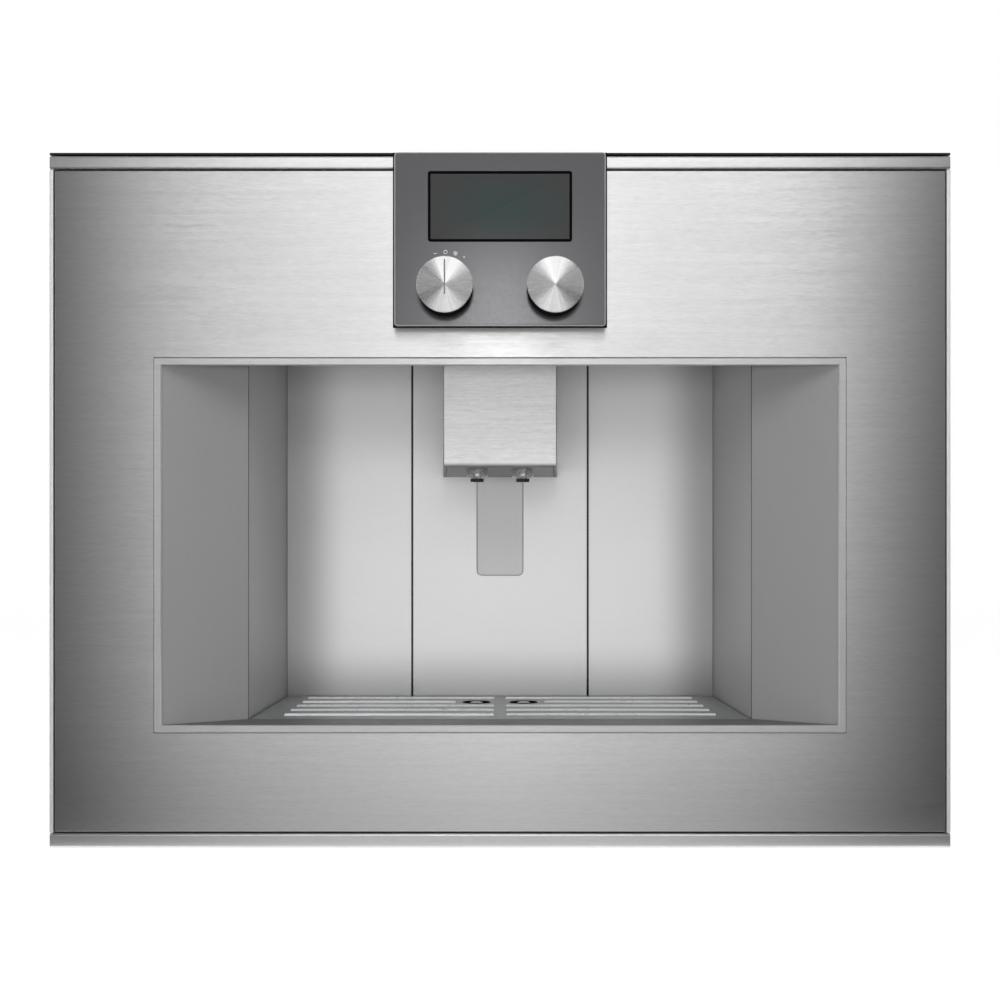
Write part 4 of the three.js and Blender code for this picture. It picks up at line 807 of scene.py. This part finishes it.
class COFFEE_OT_door(bpy.types.Operator):
    """Make the door: its skin, trims, niche ring, reveal and liner"""

    bl_idname = "coffee.door"
    bl_label = "Door"

    def execute(self, context):
        sizes = props("sizes")
        self.skin()
        for edge in ("top", "bottom"):
            dressed(f"door_trim_{edge}", f"{edge}_trim", "trim_steel", sizes.trim_edge, 3)
        # The side trims take a darker copy of the trims' steel, painted shade.
        for edge in ("left", "right"):
            dressed(f"door_trim_{edge}", f"{edge}_trim", "side_trim_steel", sizes.trim_edge, 3)
        dressed("niche_trim", "niche_ring", "ring_steel", sizes.ring_edge, 1)
        self.splay()
        dressed("door_liner", "inner_liner", "black_moulding", sizes.moulded_edge)
        self.seal()
        return {"FINISHED"}

    def splay(self):
        """The splayed reveal, with a darker sill."""
        reveal = bevelled(traced("splayed_reveal", "door_reveal"), props("sizes").sheet_edge)
        painted(reveal, "reveal_steel", "sill_steel")
        for face in reveal.data.polygons:
            face.material_index = int(face.normal.z > 0.5)
        standing(reveal, "reveal_steel", "door_reveal")

    def seal(self):
        """The rubber seal on the door's back, round the opening."""
        sizes = props("sizes")
        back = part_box("door_liner")[1].y
        low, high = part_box("door_reveal")
        wide, sunk = sizes.seal_width, 0.3 * MM
        side_gap, low_gap = 2 * MM, 1.5 * MM
        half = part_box("niche_right_wall")[0].x + side_gap + wide
        seal = hoop("niche_seal", (-half, back - sunk, low.z - low_gap - wide),
                    (half, back + sizes.seal_height, high.z + side_gap + wide), wide)
        fitted(bevelled(seal, 0.35 * MM, 3), "rubber", "door", "rubber")

    def skin(self):
        """The brushed skin, which meets the ring round its opening."""
        sizes = props("sizes")
        low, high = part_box("niche_trim")
        skin = traced("door_skin", "door_panel")
        with editing(skin):
            pick(skin, lambda face: abs(face.normal.y) < 0.1
                 and low.x - MM < face.calc_center_median().x < high.x + MM
                 and low.z - MM < face.calc_center_median().z < high.z + MM)
            bpy.ops.transform.shrink_fatten(value=sizes.fill_gap)
        standing(bevelled(skin, sizes.sheet_edge), "door_steel", "door_panel")


class COFFEE_OT_niche(bpy.types.Operator):
    """Make the niche: its side walls, its three back panels and its ceiling"""

    bl_idname = "coffee.niche"
    bl_label = "Niche"

    def execute(self, context):
        sizes = props("sizes")
        for side in ("left", "right"):
            dressed(f"niche_{side}_wall", f"{side}_niche_wall", "wall_steel", sizes.sheet_edge)
            self.back(f"niche_back_{side}", f"{side}_back_panel")
        self.back("niche_centre_panel", "slotted_panel")
        dressed("top_deck", "niche_ceiling", "wall_steel", sizes.sheet_edge)
        return {"FINISHED"}

    def back(self, node, name):
        """A back panel that reaches down behind the grate, with painted shade as a dark edge round its slot,
        if it has one.
        """
        sizes = props("sizes")
        low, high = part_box(node)
        panel = painted(traced(name, node), "niche_steel", "slot_steel")

        def inner(edge):
            a, b = (vert.co for vert in edge.verts)
            middle = (a + b) / 2
            return (max(a.y, b.y) < low.y + LOOSE and low.x + MM < middle.x < high.x - MM
                    and low.z + MM < middle.z < high.z - MM and edge.calc_face_angle(0) > 1)

        # The slot's inner edges are bevelled into the darker steel, painted shade.
        with editing(panel):
            pick(panel, inner, "edges")
            if any(edge.select for edge in bmesh.from_edit_mesh(panel.data).edges):
                bpy.ops.mesh.bevel(offset=sizes.slot_shade_edge, segments=1, affect="EDGES", material=1)
            pick(panel, lambda face: face.normal.z < -0.9 and face.calc_center_median().z < low.z + MM)
            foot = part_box("drip_grate")[0].z + 2 * MM
            bpy.ops.transform.translate(value=(0, 0, foot - low.z))
        standing(bevelled(panel, sizes.sheet_edge / 2), "niche_steel", node)


class COFFEE_OT_outlet(bpy.types.Operator):
    """Make the sliding coffee outlet, its nozzles, its blind and its guide"""

    bl_idname = "coffee.outlet"
    bl_label = "Coffee outlet"

    def execute(self, context):
        sizes = props("sizes")
        self.hood()
        self.underside()
        dressed("outlet_carriage", "outlet_blind", "blind_steel", sizes.sheet_edge)
        dressed("outlet_guide_frame", "guide_frame", "black_moulding", sizes.moulded_edge)
        for side in ("left", "right"):
            self.nozzle(side)
            dressed(f"guide_rod_{side}", f"{side}_guide_rod", "bright_steel", sizes.sheet_edge)
        return {"FINISHED"}

    def hood(self):
        """The tapered shell, rounded along its lower front edge and open below."""
        sizes = props("sizes")
        low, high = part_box("outlet_shell")
        shell = NODES["outlet_shell"].data.vertices
        front_half = max(vert.co.x for vert in shell if vert.co.y < low.y + LOOSE)
        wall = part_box("outlet_base")[0].y - low.y - 0.3 * MM
        hood = block("outlet_hood", low, high)
        with editing(hood):
            pick(hood, facing((0, -1, 0)))
            bpy.ops.transform.resize(value=(front_half / high.x, 1, 1))
            pick(hood, lambda edge: all(vert.co.y < low.y + LOOSE and vert.co.z < low.z + LOOSE
                                        for vert in edge.verts), "edges")
            bpy.ops.mesh.bevel(offset=sizes.hood_round, segments=6, affect="EDGES")
            pick(hood, facing((0, 0, -1), limit=0.999))
            bpy.ops.mesh.inset(thickness=wall, depth=0)
            rise = {"value": (0, 0, high.z - low.z - wall)}
            bpy.ops.mesh.extrude_region_move(TRANSFORM_OT_translate=rise)
        bevelled(hood, 1.5 * sizes.sheet_edge, 2, 50)
        # Faces that look down, and those inside the shell, take the darker underside steel, painted shade.
        painted(hood, "outlet_steel", "under_steel")
        for face in hood.data.polygons:
            inside = abs(face.center.x) < front_half - wall / 2 and face.center.y > low.y + wall / 2
            face.material_index = int(face.normal.z < -0.97 or inside)
        standing(hood, "outlet_steel", "outlet_shell")

    def underside(self):
        """The plate under the shell, set back behind the shell's rounded edge."""
        plate = traced("outlet_underside", "outlet_base")
        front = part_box("outlet_base")[0].y
        with editing(plate):
            pick(plate, lambda face: face.normal.y < -0.9 and face.calc_center_median().y < front + LOOSE)
            bpy.ops.transform.translate(value=(0, props("sizes").hood_round, 0))
        # The plate takes the darker underside steel, painted shade.
        standing(plate, "under_steel", "outlet_base")

    def nozzle(self, side):
        """A satin bell with a black notched tip."""
        node = f"nozzle_{side}"
        middle, radius, tall = upright(node)
        tip = props("sizes").tip_height
        cone = [(0, 0.7 * tip), (0.3 * radius, 0.7 * tip), (0.64 * radius, tip),
                (0.86 * radius, tip + 0.5 * MM), (0.97 * radius, tip + 1.4 * MM), (radius, tip + 2.6 * MM),
                (0.95 * radius, tip + 5 * MM), (0.88 * radius, tip + 8 * MM), (0.86 * radius, tall),
                (0, tall)]
        standing(turned(f"{side}_nozzle", middle, cone, "z", 48), "satin_chrome", node)
        notched = rod(f"{side}_nozzle_tip", middle + Vector((0, 0, tip / 2)), 0.5 * radius, tip, 16)
        with editing(notched):
            pick(notched, lambda face: abs(face.normal.z) < 0.1 and face.index % 2 == 0)
            bpy.ops.mesh.extrude_faces_move(TRANSFORM_OT_shrink_fatten={"value": 0.12 * radius})
            pick(notched, facing((0, 0, -1)))
            bpy.ops.mesh.inset(thickness=0.18 * radius, depth=-0.5 * tip)
        fitted(notched, "black_moulding", "outlet", "black_plastic", node, smooth=20)


class COFFEE_OT_grate(bpy.types.Operator):
    """Make the drip grate and its two drains"""

    bl_idname = "coffee.grate"
    bl_label = "Drip grate"

    def execute(self, context):
        grate = painted(traced("barred_grate", "drip_grate"), "grate_steel", "bar_steel")
        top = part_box("drip_grate")[1].z

        def ridge(edge):
            return min(vert.co.z for vert in edge.verts) > top - 2 * LOOSE and edge.calc_face_angle(0) > 1

        # The rounded tops of the bars take the lighter steel, painted highlight.
        with editing(grate):
            pick(grate, ridge, "edges")
            bpy.ops.mesh.bevel(offset=props("sizes").bar_edge, segments=3, affect="EDGES", material=1)
            mesh = bmesh.from_edit_mesh(grate.data)
            upward = [face for face in mesh.faces if face.normal.z > 0.9]
            level = max(upward, key=lambda face: face.calc_area()).calc_center_median().z
            for face in mesh.faces:
                if face.calc_center_median().z > level + LOOSE:
                    face.material_index = 1
            bmesh.update_edit_mesh(grate.data)
        standing(grate, "grate_steel", "drip_grate")
        for side in ("left", "right"):
            self.drain(side)
        return {"FINISHED"}

    def drain(self, side):
        """A black dish with a bright dome in it."""
        node = f"drain_{side}"
        middle, radius, tall = upright(node)
        floor, dome, edge = 0.25 * tall, 0.54 * radius, 0.3 * MM
        dish = [(0, 0), (radius - edge, 0), (radius, edge), (radius, tall - edge),
                (radius - 0.4 * MM, tall), (radius - 1.1 * MM, tall), (radius - 2 * MM, floor), (0, floor)]
        standing(turned(f"{side}_drain_dish", middle, dish, "z"), "skirt_black", node)
        steps, shoulder = 8, 0.6 * tall
        curve = [(dome * math.cos(turn), shoulder + (tall - shoulder) * math.sin(turn))
                 for turn in (math.pi / 2 * i / steps for i in range(steps))]
        profile = [(0, floor / 2), (dome, floor / 2), *curve, (0, tall)]
        # The dome shares the bars' lighter steel, with its painted highlight.
        standing(turned(f"{side}_drain_button", middle, profile, "z"), "bar_steel", node)


class COFFEE_OT_display(bpy.types.Operator):
    """Make the display's plate, its housing and its bare screen"""

    bl_idname = "coffee.display"
    bl_label = "Display"

    def execute(self, context):
        sizes = props("sizes")
        start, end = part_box("display_plate")
        low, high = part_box("display_screen")
        plate = painted(traced("control_plate", "display_plate"), "anodised", "edge_steel")

        def rim(edge):
            a, b = (vert.co for vert in edge.verts)
            outside = min((a + b).x / 2 - low.x, high.x - (a + b).x / 2,
                          (a + b).z / 2 - low.z, high.z - (a + b).z / 2) < -2 * MM
            return outside and max(a.y, b.y) < start.y + LOOSE / 10 and edge.calc_face_angle(0) > 1

        with editing(plate):
            pick(plate, rim, "edges")
            bpy.ops.mesh.bevel(offset=sizes.plate_edge, segments=1, affect="EDGES", material=1)
        standing(plate, "anodised", "display_plate")

        # A black sheet a little wider than the plate, for the shadow line round it: painted shadow.
        out = sizes.plate_shadow_rim
        rim_low = (start.x - out, end.y + 0.1 * MM, start.z - out)
        shadow_backing = hoop("control_backing", rim_low, (end.x + out, end.y + MM, end.z), out + 1.5 * MM)
        fitted(bevelled(shadow_backing, 0.2 * MM), "screen_rim", "door", "black_plastic", "display_housing")

        dressed("display_housing", "control_housing", "black_moulding", sizes.moulded_edge)

        screen = painted(traced("screen", "display_screen"), "screen_rim", "screen_glass")
        with editing(screen):
            pick(screen, facing((0, -1, 0)))
            bpy.ops.mesh.inset(thickness=sizes.screen_border, depth=0)
            bpy.ops.mesh.inset(thickness=0.15 * MM, depth=-0.1 * MM)
            for item in bmesh.from_edit_mesh(screen.data).faces:
                if item.select:
                    item.material_index = 1
            bmesh.update_edit_mesh(screen.data)
        fitted(screen, "screen_glass", "door", "screen", "display_screen")
        return {"FINISHED"}


class COFFEE_OT_knobs(bpy.types.Operator):
    """Make the two knobs, their black skirts, the pointer line and the marks round the selector"""

    bl_idname = "coffee.knobs"
    bl_label = "Knobs"

    def execute(self, context):
        sizes = props("sizes")
        for body in ("selector", "menu"):
            node = body + "_knob"
            low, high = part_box(node)
            middle = knob_axis(node)
            radius, half = (high.x - low.x) / 2, (high.y - low.y) / 2
            edge, seam = 0.35 * MM, 0.25 * MM
            back = half - sizes.cap_depth
            cap = [(0, back), (radius - edge, back), (radius, back + edge), (radius, half - edge),
                   (radius - edge / 3, half - edge / 3), (radius - edge, half), (0, half)]
            inner = radius - seam
            skirt = [(0, -half), (inner - 2 * edge, -half), (inner, edge - half), (inner, back - 2 * seam),
                     (inner - 2 * seam, back - seam), (0, back - seam)]
            fitted(turned(body + "_cap", middle, cap, sides=96), body + "_steel", body, "bright_steel", node)
            fitted(turned(body + "_skirt", middle, skirt, sides=96), "skirt_black", body, "black_plastic",
                   node)
        self.pointer()
        self.marks()
        return {"FINISHED"}

    def pointer(self):
        """The dark line on the selector's face."""
        sizes = props("sizes")
        face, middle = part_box("selector_knob")[0].y, knob_axis("selector_knob")
        half_width = sizes.pointer_width / 2
        line = block("pointer_line", (middle.x - half_width, face - 0.06 * MM, middle.z - sizes.pointer_low),
                     (middle.x + half_width, face + 0.3 * MM, middle.z + sizes.pointer_high))
        fitted(bevelled(line, 0.25 * MM), "pointer_ink", "selector", "black_plastic")

    def marks(self):
        """Four plain marks round the selector: a dash, a ring, a ring with a dot and a dot."""
        sizes = props("sizes")
        face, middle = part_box("display_plate")[0].y, knob_axis("selector_knob")
        reach = sizes.mark_length / 2
        half, thin = 0.12 * MM, 0.32 * MM
        inner = reach - thin
        ring = [(inner, -half), (reach, -half), (reach, half), (inner, half), (inner, -half)]
        dot = [(0, -half), (0.4 * reach, -half), (0.4 * reach, half), (0, half)]
        across = Vector((0.75 * reach, half, thin / 1.5))
        shapes = []
        for degrees, kinds in ((-16.0, ["dash"]), (0.0, ["ring"]), (15.6, ["ring", "dot"]), (30.0, ["dot"])):
            turn = math.radians(degrees)
            where = Vector((middle.x + sizes.mark_radius * math.sin(turn), face,
                            middle.z + sizes.mark_radius * math.cos(turn)))
            if "dash" in kinds:
                shapes.append(bevelled(block("dash", where - across, where + across), thin / 4))
            if "ring" in kinds:
                shapes.append(turned("ring", where, ring, sides=32))
            if "dot" in kinds:
                shapes.append(turned("dot", where, dot, sides=24))
        fitted(joined("selector_marks", shapes), "mark_paint", "door", "grey_plastic")


class COFFEE_OT_housing(bpy.types.Operator):
    """Make the fixed housing, its frame, its covers and its feet"""

    bl_idname = "coffee.housing"
    bl_label = "Housing"

    def execute(self, context):
        sizes = props("sizes")
        dressed("front_frame", "black_frame", "black_paint", sizes.sheet_edge / 2)
        for node in ("base_plate", "left_side_panel", "right_side_panel", "rear_cover", "top_cover"):
            dressed(node, node + "_sheet", "zinc_sheet", sizes.sheet_edge)
        for side in ("left", "right"):
            dressed(f"foot_rail_{side}", f"{side}_foot", "rubber", sizes.moulded_edge)
        for end in ("upper", "lower"):
            dressed(f"hinge_bracket_{end}", f"{end}_bracket", "zinc_sheet", sizes.sheet_edge)
            dressed(f"hinge_leaf_{end}", f"{end}_leaf", "zinc_sheet", sizes.sheet_edge)
        dressed("mains_inlet", "socket_inlet", "black_moulding", sizes.sheet_edge)
        return {"FINISHED"}


class COFFEE_OT_fastenings(bpy.types.Operator):
    """Make the screws of the covers, the hinges and the door's liner, and the pins of the mains inlet"""

    bl_idname = "coffee.fastenings"
    bl_label = "Fastenings"

    def execute(self, context):
        radius = props("sizes").screw_radius
        inset = 4 * radius
        hinge_head, liner_head = 0.55, 0.35  # heights of the flatter heads, against a cover's
        for node, axis, sign in (("rear_cover", "y", -1), ("top_cover", "z", 1), ("left_side_panel", "x", -1),
                                 ("right_side_panel", "x", 1)):
            spots = []
            for across in range(3):
                for along in range(3):
                    if across != 1 or (along != 1 and axis == "y"):
                        spots.append(self.spot(node, axis, sign, across / 2, along / 2, inset))
            self.screws(node + "_screws", spots, axis, sign, "housing")
        for end in ("upper", "lower"):
            for part, body, sign in (("bracket", "housing", 1), ("leaf", "door", -1)):
                node = f"hinge_{part}_{end}"
                low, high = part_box(node)
                plate = self.plate_face(node, sign)
                x = high.x - 2.2 * radius
                spots = [Vector((x, plate, z)) for z in self.thirds(low.z, high.z, inset)]
                self.screws(f"{end}_{part}_screws", spots, "y", sign, body, hinge_head)
        low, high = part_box("door_liner")
        middle = (low.z + high.z) / 2
        spots = [Vector((x, high.y, z)) for x in (low.x + inset, 0, high.x - inset)
                 for z in self.thirds(low.z, high.z, inset) if x or z != middle]
        self.screws("liner_screws", spots, "y", -1, "door", liner_head)
        self.pins()
        return {"FINISHED"}

    def thirds(self, low, high, inset):
        """Three places in a row, the outer two inside a margin."""
        return low + inset, (low + high) / 2, high - inset

    def spot(self, node, axis, sign, across, along, inset):
        """A point on one face of a node's box, at a share of its width and height inside a margin."""
        low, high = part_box(node)
        place = Vector()
        shares = iter((across, along))
        for number, letter in enumerate("xyz"):
            if letter == axis:
                outer = (sign < 0) == (axis != "y")
                place[number] = low[number] if outer else high[number]
            else:
                place[number] = low[number] + inset + (high[number] - low[number] - 2 * inset) * next(shares)
        return place

    def plate_face(self, node, sign):
        """Where the flat plate of a hinge part lies: its face towards the front or the back."""
        levels = [face.center.y for face in NODES[node].data.polygons
                  if face.normal.y * -sign > 0.9 and face.area > 20 * MM * MM]
        return max(levels) if sign < 0 else min(levels)

    def screws(self, name, spots, axis, sign, body, height=1.0):
        """Low round heads with a six-point recess. A positive sign looks to -Y, +X or +Z."""
        radius = props("sizes").screw_radius
        tall = 1.2 * MM * height * sign
        foot = -0.1 * MM * sign
        recess = 0.42 * radius
        profile = [(0, 0.2 * tall), (recess, 0.2 * tall), (recess, 0.92 * tall),
                   (0.6 * radius, tall), (0.86 * radius, 0.75 * tall), (radius, 0.3 * tall), (radius, foot),
                   (0, foot)]
        head = turned(name, spots[0], profile, axis, 24)
        letters = [letter for letter in "xyz" if letter != axis]

        def point(vert):
            first, second = (getattr(vert.co - spots[0], letter) for letter in letters)
            away = math.hypot(first, second)
            step = round(math.degrees(math.atan2(second, first)) / 15)
            return abs(away - recess) < 0.02 * radius and step % 4 == 0

        with editing(head):
            pick(head, point, "verts")
            squeeze = [1 if letter == axis else 0.62 for letter in "xyz"]
            bpy.ops.transform.resize(value=squeeze)
        repeated(head, [spot - spots[0] for spot in spots[1:]])
        fitted(head, "chrome", body, "bright_steel", smooth=40)

    def pins(self):
        """Three flat pins in the mains inlet."""
        low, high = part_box("mains_inlet")
        middle = (low + high) / 2
        half = Vector((1.1 * MM, 0.36 * (high.y - low.y), 2.2 * MM))
        shapes = []
        for across, up in ((-7, -2), (0, 3), (7, -2)):
            where = Vector((middle.x + across * MM, middle.y + 2 * MM, middle.z + up * MM))
            shapes.append(bevelled(block("pin", where - half, where + half), 0.5 * MM))
        fitted(joined("inlet_pins", shapes), "bright_steel", "housing", "bright_steel")


class COFFEE_OT_works(bpy.types.Operator):
    """Make the works: brew unit, grinder, boilers, pump and board"""

    bl_idname = "coffee.works"
    bl_label = "Works"

    def execute(self, context):
        edge = props("sizes").moulded_edge
        finishes = {
            "boiler_shelf": "zinc_sheet", "steam_boiler": "boiler_metal", "brew_boiler": "boiler_metal",
            "grinder_body": "black_moulding", "grinder_motor": "zinc_sheet", "pump": "grey_moulding",
            "brew_unit": "grey_moulding", "brew_cover": "black_moulding", "power_board": "board",
        }
        for node, finish in finishes.items():
            dressed(node, node + "_part", finish, edge)
        return {"FINISHED"}


class COFFEE_OT_containers(bpy.types.Operator):
    """Make the drip tray, grounds container, tank, milk container and bean container with their lids"""

    bl_idname = "coffee.containers"
    bl_label = "Containers"

    def execute(self, context):
        edge = props("sizes").moulded_edge
        finishes = {
            "drip_tray": "black_moulding", "grounds_container": "grey_moulding",
            "water_tank": "clear_moulding", "water_tank_lid": "grey_moulding",
            "milk_container": "clear_moulding", "milk_lid": "grey_moulding",
            "bean_container": "black_moulding", "bean_lid": "grey_moulding",
        }
        for node, finish in finishes.items():
            dressed(node, node + "_part", finish, edge)
        drops = {
            "drip_tray": 20, "water_tank": 26, "milk_container": 24, "bean_container": 22, "brew_cover": 26,
        }
        for node, drop in drops.items():
            self.grip(node, drop * MM)
        self.levels()
        return {"FINISHED"}

    def grip(self, node, drop):
        """A thin pad with ribs on the front of a container."""
        low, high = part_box(node)
        middle = Vector(((low.x + high.x) / 2, low.y, high.z - drop))
        half_width, pitch, sunk = props("sizes").grip_width / 2, 3.2 * MM, 0.25 * MM
        pad = Vector((half_width, sunk, 9 * MM))
        shapes = [bevelled(block("pad", middle - pad, middle + pad), 0.2 * MM, 3)]
        for row in range(5):
            where = middle + Vector((0, -sunk, (row - 2) * pitch))
            rib = Vector((half_width - 3 * MM, 0.4 * MM, 0.7 * MM))
            shapes.append(bevelled(block("rib", where - rib, where + rib), 0.3 * MM, 3))
        fitted(joined(node + "_grip", shapes), "rubber", BODY_OF[node], "rubber")

    def levels(self):
        """Level lines on the front of the water tank and the milk container."""
        for node in ("water_tank", "milk_container"):
            low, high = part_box(node)
            shapes = []
            # each line's place in the height, and its part of the width
            for rise, part in ((0.12, 0.7), (0.3, 0.25), (0.48, 0.25), (0.62, 0.7)):
                z = low.z + (high.z - low.z) * rise
                first = Vector((low.x + 12 * MM, low.y - 0.2 * MM, z - 0.4 * MM))
                reach = Vector(((high.x - low.x) * part, 0.4 * MM, 0.8 * MM))
                shapes.append(bevelled(block("line", first, first + reach), 0.15 * MM))
            fitted(joined(node + "_levels", shapes), "mark_paint", BODY_OF[node], "grey_plastic")


# ---- Panel and registration -----------------------------------------------------------------------------

PIECES = (
    COFFEE_OT_housing, COFFEE_OT_fastenings, COFFEE_OT_works, COFFEE_OT_containers, COFFEE_OT_niche,
    COFFEE_OT_grate, COFFEE_OT_outlet, COFFEE_OT_door, COFFEE_OT_display, COFFEE_OT_knobs,
)
GROUPS = {"stage": CoffeeStage, "finishes": CoffeeFinishes, "sizes": CoffeeSizes}


class COFFEE_PT_machine(bpy.types.Panel):
    """Lists the stage and the pieces of the coffee machine"""

    bl_idname = "COFFEE_PT_machine"
    bl_label = "Coffee machine"
    bl_space_type = "VIEW_3D"
    bl_region_type = "UI"
    bl_category = "Coffee machine"

    def draw(self, context):
        for cls in (COFFEE_OT_stage, *PIECES):
            self.layout.operator(cls.bl_idname)
        for name in GROUPS:
            group = props(name)
            box = self.layout.box()
            for key in group.__annotations__:
                box.prop(group, key)


CLASSES = (*GROUPS.values(), COFFEE_OT_stage, *PIECES, COFFEE_PT_machine)


def register():
    for cls in CLASSES:
        bpy.utils.register_class(cls)
    for name, group in GROUPS.items():
        setattr(bpy.types.Scene, "coffee_" + name, PointerProperty(type=group))


def unregister():
    for name in GROUPS:
        delattr(bpy.types.Scene, "coffee_" + name)
    for cls in reversed(CLASSES):
        bpy.utils.unregister_class(cls)


def main():
    register()
    for cls in (COFFEE_OT_stage, *PIECES):
        getattr(bpy.ops.coffee, cls.bl_idname.split(".")[1])()
    bpy.ops.object.select_all(action="DESELECT")


if __name__ == "__main__":
    main()
